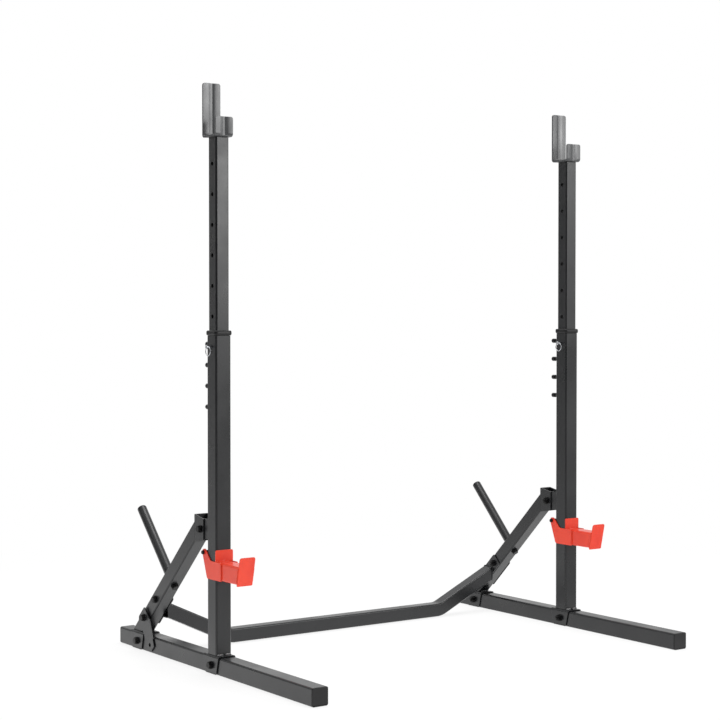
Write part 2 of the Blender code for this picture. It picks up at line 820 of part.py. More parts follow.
def brace(side, x):
    """A square tube from the head behind the post down to the rear saddle."""
    name = f"brace_{side}"
    made = tube(
        name, SLIM_TUBE, SLIM_WALL, SLIM_CORNER, on_brace(-0.25, 0, x), on_brace(0.36, 0, x)
    )
    wide = (x - 0.05, x + 0.05)
    cuts = [
        box(name + "_top_cut", wide, (-0.3, HEAD_REAR + GAP), (0.2, 0.7)),
        box(name + "_foot_cut", wide, (0.2, 0.7), (-0.3, FOOT_Z)),
    ]
    for s, across in CROSSBAR_BOLTS:
        start = on_brace(s, across, x - HALF_SLIM)
        end = on_brace(s, across, x + HALF_SLIM)
        cuts.append(bore(name + "_crossbar_hole", start, end, BOLT_HOLE_RADIUS))
    start = on_brace(PEG_S, -HALF_SLIM, x)
    end = on_brace(PEG_S, HALF_SLIM, x)
    cuts.append(bore(name + "_peg_hole", start, end, BOLT_HOLE_RADIUS))
    return cut(made, *cuts)


def brace_head(side, x):
    """The fork at the top of the brace: two cheeks in line with its sides and a web on its end."""
    name = f"brace_head_{side}"
    outline = rounded(
        [
            (HEAD_FRONT, HEAD_FRONT_FOOT), (HEAD_REAR, HEAD_REAR_FOOT),
            (HEAD_REAR, HEAD_REAR_TOP), (HEAD_FRONT, HEAD_FRONT_TOP),
        ],
        [0.002, 0.002, 0.002, 0.002], 2,
    )
    head = prism(name, [outline], "X", x - HALF_SLIM, x + HALF_SLIM)
    slot = HALF_SLIM - PLATE
    low = HEAD_REAR_FOOT - 0.01
    high = HEAD_REAR_TOP + 0.01
    ys = (HEAD_FRONT - 0.01, HEAD_REAR - PLATE)
    cut(head, box(name + "_slot", (x - slot, x + slot), ys, (low, high)))
    start = (x - HALF_SLIM, PIVOT_Y, PIVOT_Z)
    end = (x + HALF_SLIM, PIVOT_Y, PIVOT_Z)
    return cut(head, bore(name + "_hole", start, end, BOLT_HOLE_RADIUS))


def brace_bracket(side, x):
    """A folded bracket on the post, whose two tongues fit between the cheeks of the head."""
    name = f"brace_bracket_{side}"
    face = HALF_OUTER + GAP
    outer = HALF_SLIM - PLATE - HEAD_CLEARANCE
    corners = [
        (face, BRACKET_BOTTOM), (BRACKET_REAR, BRACKET_BOTTOM),
        (BRACKET_REAR, BRACKET_TOP), (face, BRACKET_TOP),
    ]
    radii = [0, BRACKET_CORNER, BRACKET_CORNER, 0]
    bracket = prism(name, [rounded(corners, radii)], "X", x - outer, x + outer)
    inner = outer - PLATE
    ys = (face + PLATE, BRACKET_REAR + 0.01)
    zs = (BRACKET_BOTTOM - 0.01, BRACKET_TOP + 0.01)
    cut(bracket, box(name + "_slot", (x - inner, x + inner), ys, zs))
    start = (x - outer, PIVOT_Y, PIVOT_Z)
    end = (x + outer, PIVOT_Y, PIVOT_Z)
    return cut(bracket, bore(name + "_hole", start, end, BOLT_HOLE_RADIUS))


# Crossbar

def crossbar_path(end_x):
    """The centre line: a level run near the floor whose ends bend up towards the braces."""
    rise = CROSSBAR_RISE
    radius = CROSSBAR_BEND_RADIUS
    reach = radius * math.tan(rise / 2)
    level_end = POST_SPACING / 2 - CROSSBAR_END_RUN - reach
    half = []
    for k in range(BEND_STEPS + 1):
        turn = rise * k / BEND_STEPS
        half.append((level_end + radius * math.sin(turn), CROSSBAR_Z + radius * (1 - math.cos(turn))))
    last_x, last_z = half[-1]
    half.append((end_x, last_z + (end_x - last_x) * math.tan(rise)))
    right = [(u, CROSSBAR_Y, v) for u, v in half]
    left = [(-u, CROSSBAR_Y, v) for u, v in reversed(half)]
    return left + right


def crossbar():
    flange_face = POST_SPACING / 2 - HALF_SLIM - GAP - PLATE - GAP
    bar = swept("crossbar", crossbar_path(flange_face + 0.03), SLIM_TUBE, SLIM_CORNER)
    core_size = SLIM_TUBE - 2 * SLIM_WALL
    core_corner = SLIM_CORNER - SLIM_WALL
    cut(bar, swept("crossbar_core", crossbar_path(flange_face + 0.05), core_size, core_corner))
    ends = []
    for side, sign in SIDES:
        xs = (sign * flange_face, sign * (flange_face + 0.1))
        ys = (CROSSBAR_Y - 0.1, CROSSBAR_Y + 0.1)
        ends.append(box(f"crossbar_end_cut_{side}", xs, ys, (-0.1, 0.3)))
    return cut(bar, *ends)


def brace_plate(name, face, far):
    """A plate along the brace from face to far, with the holes for the crossbar's bolts."""
    corners = [
        flat(on_brace(FLANGE_START, -HALF_SLIM)), flat(on_brace(FLANGE_END, -HALF_SLIM)),
        flat(on_brace(FLANGE_END, HALF_SLIM)), flat(on_brace(FLANGE_START, HALF_SLIM)),
    ]
    plate = prism(name, [rounded(corners, FLANGE_CORNER)], "X", face, far)
    holes = [
        bore(name + "_hole", on_brace(s, across, face), on_brace(s, across, far), BOLT_HOLE_RADIUS)
        for s, across in CROSSBAR_BOLTS
    ]
    return cut(plate, *holes)


def crossbar_plate(side, sign, x):
    """The plate welded to the end of the crossbar and bolted to the inner face of the brace."""
    face = x - sign * (HALF_SLIM + GAP)
    return brace_plate(f"crossbar_plate_{side}", face, face - sign * PLATE)


# Gussets

def gusset_plane(side, sign, x):
    """The inner and outer faces of the gusset: outside the beam where it hangs, else on the brace."""
    offset = HALF_OUTER + GUSSET_CLEARANCE if side in HANGING_GUSSETS else HALF_SLIM + GAP
    inner = x + sign * offset
    return inner, inner + sign * PLATE


def gusset(side, sign, x):
    """A flat strap outside the brace, held by one or both of the crossbar's bolts."""
    inner, outer = gusset_plane(side, sign, x)
    if side in HANGING_GUSSETS:
        return hanging_gusset(f"gusset_{side}", sign, x, inner, outer)
    return brace_plate(f"gusset_{side}", inner, outer)


def hanging_gusset(name, sign, x, inner, outer):
    """A strap that reaches down beside the beam from the lower bolt."""
    points = [
        flat(on_brace(0.2045, 0.016)), flat(on_brace(0.2045, -0.024)),
        (0.2985, 0.0205), (0.3165, 0.0045), (0.3300, 0.0045), (0.3410, 0.0160),
        (0.3535, 0.0450), flat(on_brace(0.2548, 0.008)), flat(on_brace(0.2450, 0.016)),
    ]
    radii = [0.003, 0.003, 0.004, 0.003, 0.004, 0.004, 0.010, 0.004, 0.003]
    plate = prism(name, [rounded(points, radii, 3)], "X", inner, outer)
    fuse(plate, gusset_spacer(name, sign, x, inner))
    start = on_brace(LOWER_BOLT_S, LOWER_BOLT_ACROSS, x + sign * HALF_SLIM)
    end = on_brace(LOWER_BOLT_S, LOWER_BOLT_ACROSS, outer)
    bolt_hole = bore(name + "_bolt_hole", start, end, BOLT_HOLE_RADIUS)
    start = (inner, GUSSET_HOLE_Y, GUSSET_HOLE_Z)
    end = (outer, GUSSET_HOLE_Y, GUSSET_HOLE_Z)
    return cut(plate, bolt_hole, bore(name + "_free_hole", start, end, BOLT_HOLE_RADIUS))


def gusset_spacer(name, sign, x, inner):
    """The ring welded to the gusset, which fills the step to the brace."""
    face = x + sign * (HALF_SLIM + GAP)
    start = on_brace(LOWER_BOLT_S, LOWER_BOLT_ACROSS, face)
    end = on_brace(LOWER_BOLT_S, LOWER_BOLT_ACROSS, inner + sign * PLATE / 2)
    return rod(name + "_spacer", start, end, SPACER_RADIUS)


# Storage pegs

def storage_peg(side, x):
    """A round tube square to the brace, with a solid threaded base."""
    start = on_brace(PEG_S, HALF_SLIM + GAP, x)
    bore_radius = PEG_RADIUS - PEG_WALL
    profile = [
        (bore_radius, PEG_LENGTH), (PEG_RADIUS, PEG_LENGTH), (PEG_RADIUS, 0),
        (BOLT_HOLE_RADIUS, 0), (BOLT_HOLE_RADIUS, PEG_BASE), (bore_radius, PEG_BASE),
    ]
    return turned(f"storage_peg_{side}", profile, start, BRACE_OUT, PEG_ROUND)


def peg_cap(side, x):
    """A domed plug in the open end of the peg."""
    start = on_brace(PEG_S, HALF_SLIM + 2 * GAP + PEG_LENGTH, x)
    plug_radius = PEG_RADIUS - PEG_WALL - GAP
    profile = [(0, PEG_CAP_ROUND)]
    for k in range(1, 4):
        turn = math.pi / 2 * k / 3
        rim = PEG_RADIUS - PEG_CAP_ROUND
        profile.append((rim + PEG_CAP_ROUND * math.sin(turn), PEG_CAP_ROUND * math.cos(turn)))
    profile += [(plug_radius, 0), (plug_radius, -PEG_CAP_PLUG), (0, -PEG_CAP_PLUG)]
    return turned(f"peg_cap_{side}", profile, start, BRACE_OUT, PEG_ROUND)


# Fasteners in their places

def side_bolts(side, sign, x):
    """Each bolt's name, head face, far face, and whether it has a nut and its two washers."""
    saddle_half = sign * (HALF_OUTER + GAP + PLATE)
    head_x = x + sign * HALF_SLIM
    flange_x = x - sign * (HALF_SLIM + GAP + PLATE)
    gusset_x = gusset_plane(side, sign, x)[1]
    upper_x = head_x if side in HANGING_GUSSETS else gusset_x
    lower = (LOWER_BOLT_S, LOWER_BOLT_ACROSS)
    peg_tip = HALF_SLIM + PEG_BASE - 0.004
    return [
        bolt(f"post_saddle_bolt_{side}", (x + saddle_half, 0, BEAM_BOLT_Z),
             (x - saddle_half, 0, BEAM_BOLT_Z)),
        bolt(f"brace_saddle_bolt_{side}", (x + saddle_half, REAR_SADDLE_Y, BEAM_BOLT_Z),
             (x - saddle_half, REAR_SADDLE_Y, BEAM_BOLT_Z)),
        bolt(f"pivot_bolt_{side}", (head_x, PIVOT_Y, PIVOT_Z),
             (x - sign * HALF_SLIM, PIVOT_Y, PIVOT_Z)),
        bolt(f"upper_crossbar_bolt_{side}", on_brace(UPPER_BOLT_S, 0, upper_x),
             on_brace(UPPER_BOLT_S, 0, flange_x), washers=(True, False)),
        bolt(f"lower_crossbar_bolt_{side}", on_brace(*lower, gusset_x),
             on_brace(*lower, flange_x), washers=(True, False)),
        bolt(f"peg_bolt_{side}", on_brace(PEG_S, -HALF_SLIM, x),
             on_brace(PEG_S, peg_tip, x), nut=False, washers=(True, False)),
    ]


# Assembly

clear_scene()
PARTS = collection("squat_rack")
CUTTERS = collection("squat_rack_cutters")
FRAME = empty("rack_frame", (0, POST_Y, 0))
bpy.context.view_layer.update()

POWDER_COAT = material("charcoal_powder_coat", (0.052, 0.054, 0.058), 0.55, 0.0)
BLACK_STEEL = material("black_steel", (0.012, 0.012, 0.013), 0.35, 0.6)
BLACK_PLASTIC = material("black_plastic", (0.015, 0.015, 0.016), 0.5, 0.0)
CHROME = material("chrome", (0.78, 0.79, 0.80), 0.12, 1.0)
RED_PAINT = material("red_paint", (0.70, 0.035, 0.028), 0.3, 0.0)


def make_side(side, sign):
    x = sign * POST_SPACING / 2
    finish(base_beam(side, x), POWDER_COAT, FRAME)
    finish(saddle(f"post_saddle_{side}", x, 0), POWDER_COAT, FRAME)
    finish(saddle(f"brace_saddle_{side}", x, REAR_SADDLE_Y), POWDER_COAT, FRAME)
    finish(lower_post(side, x), POWDER_COAT, FRAME)
    finish(post_collar(side, x), BLACK_PLASTIC, FRAME)
    for name, end, inward in (("front", -BEAM_FRONT, 1), ("rear", BEAM_REAR, -1)):
        finish(end_cap(f"{name}_cap_{side}", x, end, inward), BLACK_PLASTIC, FRAME)
    for made in side_bolts(side, sign, x):
        finish(made, BLACK_STEEL, FRAME)
    finish(brace(side, x), POWDER_COAT, FRAME)
    finish(brace_head(side, x), POWDER_COAT, FRAME)
    finish(brace_bracket(side, x), POWDER_COAT, FRAME)
    finish(crossbar_plate(side, sign, x), POWDER_COAT, FRAME)
    finish(gusset(side, sign, x), POWDER_COAT, FRAME)
    finish(storage_peg(side, x), POWDER_COAT, FRAME)
    finish(peg_cap(side, x), BLACK_PLASTIC, FRAME)

    slide = empty(f"upper_post_slide_{side}", (x, 0, PIN_Z), FRAME)
    finish(upper_post(side, x), POWDER_COAT, slide)
    finish(j_cup(side, x), POWDER_COAT, slide)

    pin_slide = empty(f"locking_pin_slide_{side}", (x, 0, PIN_Z), FRAME)
    finish(locking_pin(side, x), CHROME, pin_slide)
    hinge = empty(f"pin_ring_hinge_{side}", (-HALF_OUTER - RING_HOLE_OUT, 0, 0), pin_slide)
    finish(pin_ring(side, x), CHROME, hinge)

    lift = empty(f"catch_lift_{side}", (x, CATCH_PIN_Y, CATCH_PIN_Z), FRAME)
    finish(catch_hook(side, x), RED_PAINT, lift)
    finish(catch_arm(side, x), RED_PAINT, lift)
    finish(catch_lip(side, x), RED_PAINT, lift)
    finish(catch_cross_pin(side, x), BLACK_STEEL, lift)


for side_name, side_sign in SIDES:
    make_side(side_name, side_sign)
finish(crossbar(), POWDER_COAT, FRAME)
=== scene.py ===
# %% [markdown]
# # A squat rack in powder-coated steel
#
# The rack is made of square tube, folded plate, bolts and welds. The fixed frame that is loaded
# first says where every piece sits and how it moves. This lesson gives those pieces the rounded
# edges, weld beads, bolt heads and painted surfaces that the real steel has.

# %% Load the frame
import json
import math

import bmesh
import bpy
from mathutils import Matrix, Vector

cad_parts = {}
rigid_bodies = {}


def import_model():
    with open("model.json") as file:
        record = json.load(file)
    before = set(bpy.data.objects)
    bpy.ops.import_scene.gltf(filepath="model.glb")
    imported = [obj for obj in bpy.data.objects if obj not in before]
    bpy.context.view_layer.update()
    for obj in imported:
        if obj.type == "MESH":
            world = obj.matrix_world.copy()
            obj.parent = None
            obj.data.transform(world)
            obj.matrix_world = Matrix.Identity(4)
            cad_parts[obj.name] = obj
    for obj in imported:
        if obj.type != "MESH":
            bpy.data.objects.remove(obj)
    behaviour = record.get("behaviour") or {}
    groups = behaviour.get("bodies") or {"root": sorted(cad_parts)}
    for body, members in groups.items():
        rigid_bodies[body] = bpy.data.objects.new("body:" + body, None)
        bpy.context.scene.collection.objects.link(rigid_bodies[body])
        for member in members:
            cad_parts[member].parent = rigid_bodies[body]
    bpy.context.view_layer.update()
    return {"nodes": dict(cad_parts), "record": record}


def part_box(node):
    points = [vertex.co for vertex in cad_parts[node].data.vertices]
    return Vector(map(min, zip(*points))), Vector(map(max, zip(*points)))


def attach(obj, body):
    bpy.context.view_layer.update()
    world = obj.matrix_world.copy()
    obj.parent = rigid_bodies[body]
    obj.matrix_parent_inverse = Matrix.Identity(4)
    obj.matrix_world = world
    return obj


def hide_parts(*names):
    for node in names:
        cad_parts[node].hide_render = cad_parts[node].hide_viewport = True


for leftover in list(bpy.data.objects):
    bpy.data.objects.remove(leftover, do_unlink=True)
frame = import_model()
NODES = frame["nodes"]
SIDES = {"left": -1, "right": 1}
MM = 0.001
SAME_POINT = 1e-6
PAST = 10 * MM

# %% [markdown]
# Most sizes below are read from the frame, so that a finer piece always lies where the plain one
# does. A node's box gives its lowest and highest corner. Where a cutter has to run past the
# piece that it cuts, it does so by the length PAST or more.

# %% Read places from the frame


def mm(*values):
    """Lengths in millimetres, turned to metres."""
    return [value * MM for value in values]


def middle(node):
    """The middle of a node's box."""
    low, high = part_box(node)
    return (low + high) / 2


def extent(node):
    """The size of a node's box."""
    low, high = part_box(node)
    return high - low


TUBE = extent("base_beam_left").x
SLIM = extent("upper_post_left").x
print(f"beam tube {TUBE / MM:.1f} mm, slim tube {SLIM / MM:.1f} mm")

# %% [markdown]
# ## Node trees in short calls
#
# Finishes, the room and the Geometry Nodes rules are all node trees. The class below adds a node
# and links or sets its sockets in one call, so that a tree reads like a recipe.

# %% A helper for node trees


class Tree:
    """A node tree. A keyword names a socket, with _ for a space, or in0, in1 by number."""

    def __init__(self, tree):
        self.tree = tree

    def fill(self, node, **sockets):
        for label, value in sockets.items():
            if label[:2] == "in" and label[2:].isdigit():
                socket = node.inputs[int(label[2:])]
            else:
                wanted = label.replace("_", " ")
                socket = next(s for s in node.inputs if s.name == wanted and s.enabled)
            if isinstance(value, bpy.types.NodeSocket):
                self.tree.links.new(value, socket)
            else:
                socket.default_value = value

    def node(self, kind, settings=None, **sockets):
        node = self.tree.nodes.new(kind)
        for key, value in (settings or {}).items():
            setattr(node, key, value)
        self.fill(node, **sockets)
        return node

    def add(self, kind, settings=None, **sockets):
        """Adds a node and returns its first output in use."""
        return next(s for s in self.node(kind, settings, **sockets).outputs if s.enabled)

    def maths(self, operation, *values):
        numbered = {f"in{k}": value for k, value in enumerate(values)}
        return self.add("ShaderNodeMath", {"operation": operation}, **numbered)


# %% [markdown]
# ## Finishes
#
# Powder coat is a baked plastic skin. Seen closely it is slightly bumpy, like the peel of an
# orange, and it carries a fine grain that breaks up its reflections. Two noise textures give the
# bumps and one gives the clouds, all read from Object coordinates in metres, so that the grain has
# the same size on every piece.

# %% Material helper


class Shader(Tree):
    """A material with one Principled BSDF and textures that follow the object."""

    def __init__(self, name, colour, roughness, **more):
        self.material = bpy.data.materials.new(name)
        self.material.use_nodes = True
        self.material.diffuse_color = (*colour, 1)
        super().__init__(self.material.node_tree)
        self.place = self.node("ShaderNodeTexCoord").outputs["Object"]
        self.set(Base_Color=(*colour, 1), Roughness=roughness, **more)

    def set(self, **sockets):
        self.fill(self.tree.nodes["Principled BSDF"], **sockets)

    def noise(self, per_metre, detail=2.0, roughness=0.5):
        return self.add(
            "ShaderNodeTexNoise", Vector=self.place, Scale=per_metre, Detail=detail,
            Roughness=roughness,
        )

    def ramp(self, output, low, high, start=0.0, end=1.0):
        """Maps a noise onto values or colours between low and high."""
        node = self.node("ShaderNodeValToRGB", Fac=output)
        for stop, place, colour in zip(node.color_ramp.elements, (start, end), (low, high)):
            stop.position = place
            stop.color = (*colour, 1) if isinstance(colour, tuple) else (colour,) * 3 + (1,)
        return node.outputs["Color"]

    def bumps(self, *layers):
        """Stacks bump layers, each a texture output, a strength and a depth in metres."""
        below = {}
        for output, strength, depth in layers:
            below = {"Normal": self.add(
                "ShaderNodeBump", Height=output, Strength=strength, Distance=depth, **below
            )}
        self.set(**below)


# %% [markdown]
# The tubes are nearly black and the cups a lighter grey. The beads at the foot of a post get a
# glossier coat in a much paler colour, and that pale colour is a painted highlight.

# %% Powder coat


def powder_coat(name, dark, light, roughness, gloss=0.40):
    """A baked coat with a fine grain: colour, gloss and height all vary a little."""
    made = Shader(name, dark, roughness, Specular_IOR_Level=gloss)
    grain, cloud = made.noise(1500, 2, 0.6), made.noise(9, 3)
    colour = made.add(
        "ShaderNodeMix", {"data_type": "RGBA"}, Factor=0.25,
        A=made.ramp(grain, dark, light, 0.35, 0.75), B=made.ramp(cloud, dark, light, 0.3, 0.8),
    )
    polish = made.ramp(cloud, roughness - 0.06, roughness + 0.08, 0.3, 0.7)
    made.set(Base_Color=colour, Roughness=polish)
    made.bumps((made.noise(420), 0.18, 0.12 * MM), (grain, 0.20, 0.04 * MM))
    return made.material


CHARCOAL = powder_coat(
    "charcoal_powder_coat", (0.0040, 0.0043, 0.0050), (0.0120, 0.0126, 0.0140), 0.31
)
CUP_GREY = powder_coat(
    "grey_powder_coat", (0.032, 0.033, 0.035), (0.050, 0.0515, 0.054), 0.32, 0.6
)
# Its pale base colour is a painted highlight on the foot beads; only the gloss belongs to the coat.
FOOT_BEAD_HIGHLIGHT_COAT = powder_coat(
    "thick_powder_coat", (0.10, 0.10, 0.102), (0.22, 0.22, 0.225), 0.20, 0.8
)

# %% [markdown]
# The catches are sprayed in glossy red enamel. A thin clear coat over a rougher base gives the
# sharp pale highlights, and a fine ripple keeps them from looking like glass. Bolts are blackened
# steel, caps and collars are moulded plastic with a spark-eroded grain, and the locking pins are
# chromed.

# %% Enamel, steel, plastic and chrome


def enamel(name, colour, deep):
    made = Shader(
        name, colour, 0.34, Specular_IOR_Level=0.30, Coat_Weight=0.08, Coat_Roughness=0.12
    )
    made.set(Base_Color=made.ramp(made.noise(14, 3), deep, colour, 0.25, 0.6))
    made.bumps((made.noise(260), 0.22, 0.12 * MM), (made.noise(900, 1), 0.10, 0.03 * MM))
    return made.material


def blackened_steel():
    made = Shader("black_steel", (0.006,) * 3, 0.34, Metallic=0.25, Specular_IOR_Level=0.20)
    wear = made.noise(160, 4, 0.6)
    colour = made.ramp(wear, (0.004, 0.004, 0.0045), (0.016, 0.0155, 0.015), 0.4, 0.8)
    made.set(Base_Color=colour, Roughness=made.ramp(wear, 0.30, 0.50))
    made.bumps((made.noise(900), 0.15, 0.04 * MM))
    return made.material


def moulded_plastic():
    made = Shader("black_plastic", (0.008, 0.008, 0.0085), 0.36, Specular_IOR_Level=0.24)
    grain = made.noise(2200, 1)
    made.set(Roughness=made.ramp(grain, 0.30, 0.42))
    made.bumps((grain, 0.35, 0.05 * MM))
    return made.material


def chrome():
    made = Shader("chrome", (0.48, 0.49, 0.51), 0.16, Metallic=1.0)
    made.set(Roughness=made.ramp(made.noise(60, 3), 0.12, 0.24))
    made.bumps((made.noise(300), 0.05, 0.05 * MM))
    return made.material


BLACK_STEEL = blackened_steel()
FINISH = {
    "charcoal_powder_coat": CHARCOAL,
    "grey_powder_coat": CUP_GREY,
    "red_paint": enamel("red_enamel", (0.69, 0.044, 0.016), (0.60, 0.026, 0.010)),
    "black_steel": BLACK_STEEL,
    "black_plastic": moulded_plastic(),
    "chrome": chrome(),
}
SLOT_OF = {part["node"]: part["material_slot"] for part in frame["record"]["subparts"]}
BODY_OF = {
    node: body for body, members in frame["record"]["behaviour"]["bodies"].items()
    for node in members
}
print("finishes:", ", ".join(FINISH))

# %% [markdown]
# ## From plain solids to steel with soft edges
#
# Every real edge is a little round: it is rolled, sheared or ground, and the paint rounds it
# further. A Bevel modifier rounds what is sharp, and weighted normals keep the flat faces flat in
# the light. The helpers below turn a modifier's result into a plain mesh, because the frame
# expects finished meshes.

# %% Mesh helpers


def plain_mesh(obj):
    """Applies the object's modifiers and its place, so that it holds one plain mesh."""
    bpy.context.view_layer.update()
    graph = bpy.context.evaluated_depsgraph_get()
    mesh = bpy.data.meshes.new_from_object(obj.evaluated_get(graph))
    mesh.transform(obj.matrix_world)
    obj.modifiers.clear()
    if obj.type == "MESH":
        obj.data = mesh
        obj.matrix_world = Matrix.Identity(4)
        return obj
    name = obj.name
    bpy.data.objects.remove(obj, do_unlink=True)
    return shown(name, mesh)


def shown(name, mesh, look=None):
    """A new object in the scene with one finish."""
    obj = bpy.data.objects.new(name, mesh)
    bpy.context.scene.collection.objects.link(obj)
    if look:
        mesh.materials.clear()
        mesh.materials.append(look)
    return obj


def welded(obj):
    """Joins doubled points and turns every face outwards."""
    bm = bmesh.new()
    bm.from_mesh(obj.data)
    bmesh.ops.remove_doubles(bm, verts=bm.verts, dist=SAME_POINT)
    bmesh.ops.recalc_face_normals(bm, faces=bm.faces)
    bm.to_mesh(obj.data)
    bm.free()
    return obj


def soften(obj, edge, angle=38):
    """Rounds the sharp edges and keeps the flats flat."""
    bevel = obj.modifiers.new("soft edges", "BEVEL")
    bevel.width = edge
    bevel.segments = 2
    bevel.limit_method = "ANGLE"
    bevel.angle_limit = math.radians(angle)
    bevel.miter_outer = "MITER_ARC"
    bevel.use_clamp_overlap = True
    return shade(plain_mesh(obj))


def shade(obj):
    """Smooth shading that leaves the flat faces flat."""
    obj.data.shade_smooth()
    obj.data.set_sharp_from_angle(angle=math.radians(50))
    normals = obj.modifiers.new("flat faces", "WEIGHTED_NORMAL")
    normals.keep_sharp = True
    normals.weight = 80
    return plain_mesh(obj)


def stand_for(obj, *nodes, edge=None):
    """The piece rides with its nodes' body, takes their finish and is shown in their place."""
    if edge:
        soften(obj, edge)
    obj.data.materials.clear()
    obj.data.materials.append(FINISH[SLOT_OF[nodes[0]]])
    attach(obj, BODY_OF[nodes[0]])
    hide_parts(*nodes)


def joined(name, pieces):
    """One object from several that lie apart or only touch."""
    bm = bmesh.new()
    for piece in pieces:
        bm.from_mesh(piece.data)
        bpy.data.objects.remove(piece, do_unlink=True)
    mesh = bpy.data.meshes.new(name)
    bm.to_mesh(mesh)
    bm.free()
    return shade(shown(name, mesh))


# %% [markdown]
# Plates are cut from flat sheet, so they are drawn as an outline with rounded corners and pushed
# out to their thickness. A 2D curve fills an outline and leaves its holes open by itself.

# %% Outlines and plates


def rounded(corners, radii, steps=8):
    """The outline through these corners, each rounded by its radius."""
    outline = []
    for i, radius in enumerate(radii):
        corner = Vector(corners[i])
        if radius == 0:
            outline.append(corner)
            continue
        before = (Vector(corners[i - 1]) - corner).normalized()
        after = (Vector(corners[(i + 1) % len(corners)]) - corner).normalized()
        half = before.angle(after) / 2
        centre = corner + (before + after).normalized() * radius / math.sin(half)
        start = corner + before * radius / math.tan(half) - centre
        end = corner + after * radius / math.tan(half) - centre
        turn = math.pi - 2 * half
        for k in range(steps + 1):
            share = k / steps
            spoke = start * math.sin((1 - share) * turn) + end * math.sin(share * turn)
            outline.append(centre + spoke / math.sin(turn))
    return outline


def rectangle(u0, u1, v0, v1, radius=0.0):
    return rounded([(u0, v0), (u1, v0), (u1, v1), (u0, v1)], [radius] * 4)


def circle(u, v, radius, steps=32):
    turns = [2 * math.pi * k / steps for k in range(steps)]
    return [Vector((u + radius * math.cos(t), v + radius * math.sin(t))) for t in turns]


TURN_TO = {
    "X": Matrix(((0, 0, 1), (1, 0, 0), (0, 1, 0))).to_4x4(),
    "Y": Matrix(((1, 0, 0), (0, 0, -1), (0, 1, 0))).to_4x4(),
    "Z": Matrix.Identity(4),
}


def plate(name, loops, axis, low, high, rim=0.0):
    """An outline with its holes, pushed out along X, Y or Z. A rim rounds its outer edges."""
    low, high = sorted((low, high))
    curve = bpy.data.curves.new(name, "CURVE")
    curve.dimensions = "2D"
    curve.fill_mode = "BOTH"
    curve.extrude = (high - low) / 2 - rim
    curve.bevel_depth = rim
    curve.bevel_resolution = 4
    curve.offset = -rim
    for loop in loops:
        spline = curve.splines.new("POLY")
        spline.points.add(len(loop) - 1)
        for point, corner in zip(spline.points, loop):
            point.co = (corner[0], corner[1], 0, 1)
        spline.use_cyclic_u = True
    obj = bpy.data.objects.new(name, curve)
    bpy.context.scene.collection.objects.link(obj)
    shift = Vector([(low + high) / 2 if letter == axis else 0 for letter in "XYZ"])
    obj.matrix_world = Matrix.Translation(shift) @ TURN_TO[axis]
    return welded(plain_mesh(obj))


def combined(obj, operation, *others):
    """Cuts, joins or crops a piece with others, which are used up."""
    other = joined(others[0].name + "_tool", others) if len(others) > 1 else others[0]
    boolean = obj.modifiers.new("shape", "BOOLEAN")
    boolean.operation = operation
    boolean.solver = "EXACT"
    boolean.object = other
    plain_mesh(obj)
    bpy.data.objects.remove(other, do_unlink=True)
    return welded(obj)


def cropped(piece, view, axis, low, high):
    """Keeps what lies inside an outline, seen along an axis."""
    crop = plate(piece.name + "_crop", [view], axis, low, high)
    return combined(piece, "INTERSECT", crop)


# %% [markdown]
# Round pieces are turned, as on a lathe: half of the cross-section is spun about an axis. The
# profile runs from the top down the outer side.

# %% Turned pieces


def aimed(start, direction):
    """The frame whose Z axis runs along the direction, with its X axis level where it can be."""
    z = Vector(direction).normalized()
    x = Vector((0, 0, 1)) if abs(z.x) > 0.99 else Vector((1, 0, 0))
    y = z.cross(x).normalized()
    turn = Matrix((y.cross(z), y, z)).transposed()
    return Matrix.Translation(start) @ turn.to_4x4()


def turned(name, profile, start=(0, 0, 0), direction=(0, 0, 1), steps=40):
    """Radius and height points turned about a line. A ring's profile is closed on itself."""
    ring = min(radius for radius, height in profile) > 0
    bm = bmesh.new()
    rows = []
    for radius, height in profile:
        count = steps if radius > 0 else 1
        turns = [2 * math.pi * k / steps for k in range(count)]
        rows.append([
            bm.verts.new((radius * math.cos(t), radius * math.sin(t), height)) for t in turns
        ])
    pairs = list(zip(rows, rows[1:]))
    if ring:
        pairs.append((rows[-1], rows[0]))
    for above, below in pairs:
        for k in range(steps):
            corners = [above[k % len(above)], above[(k + 1) % len(above)],
                       below[(k + 1) % len(below)], below[k % len(below)]]
            corners = list(dict.fromkeys(corners))
            if len(corners) > 2:
                bm.faces.new(corners)
    mesh = bpy.data.meshes.new(name)
    bm.to_mesh(mesh)
    bm.free()
    mesh.transform(aimed(start, direction))
    return welded(shown(name, mesh))


def arc(centre, radius, start, end, steps=6):
    """Radius and height points on an arc, with its angles in degrees from the level line."""
    turns = [math.radians(start + (end - start) * k / steps) for k in range(steps + 1)]
    return [(centre[0] + radius * math.cos(t), centre[1] + radius * math.sin(t)) for t in turns]


print("helpers for plates and turned pieces are ready")

# %% [markdown]
# ## Rules in Geometry Nodes
#
# Square tubes, weld beads, bolts and rows of holes all follow a rule. Geometry Nodes describe such
# a rule once, and the numbers on its inputs make each piece.

# %% A helper for Geometry Nodes


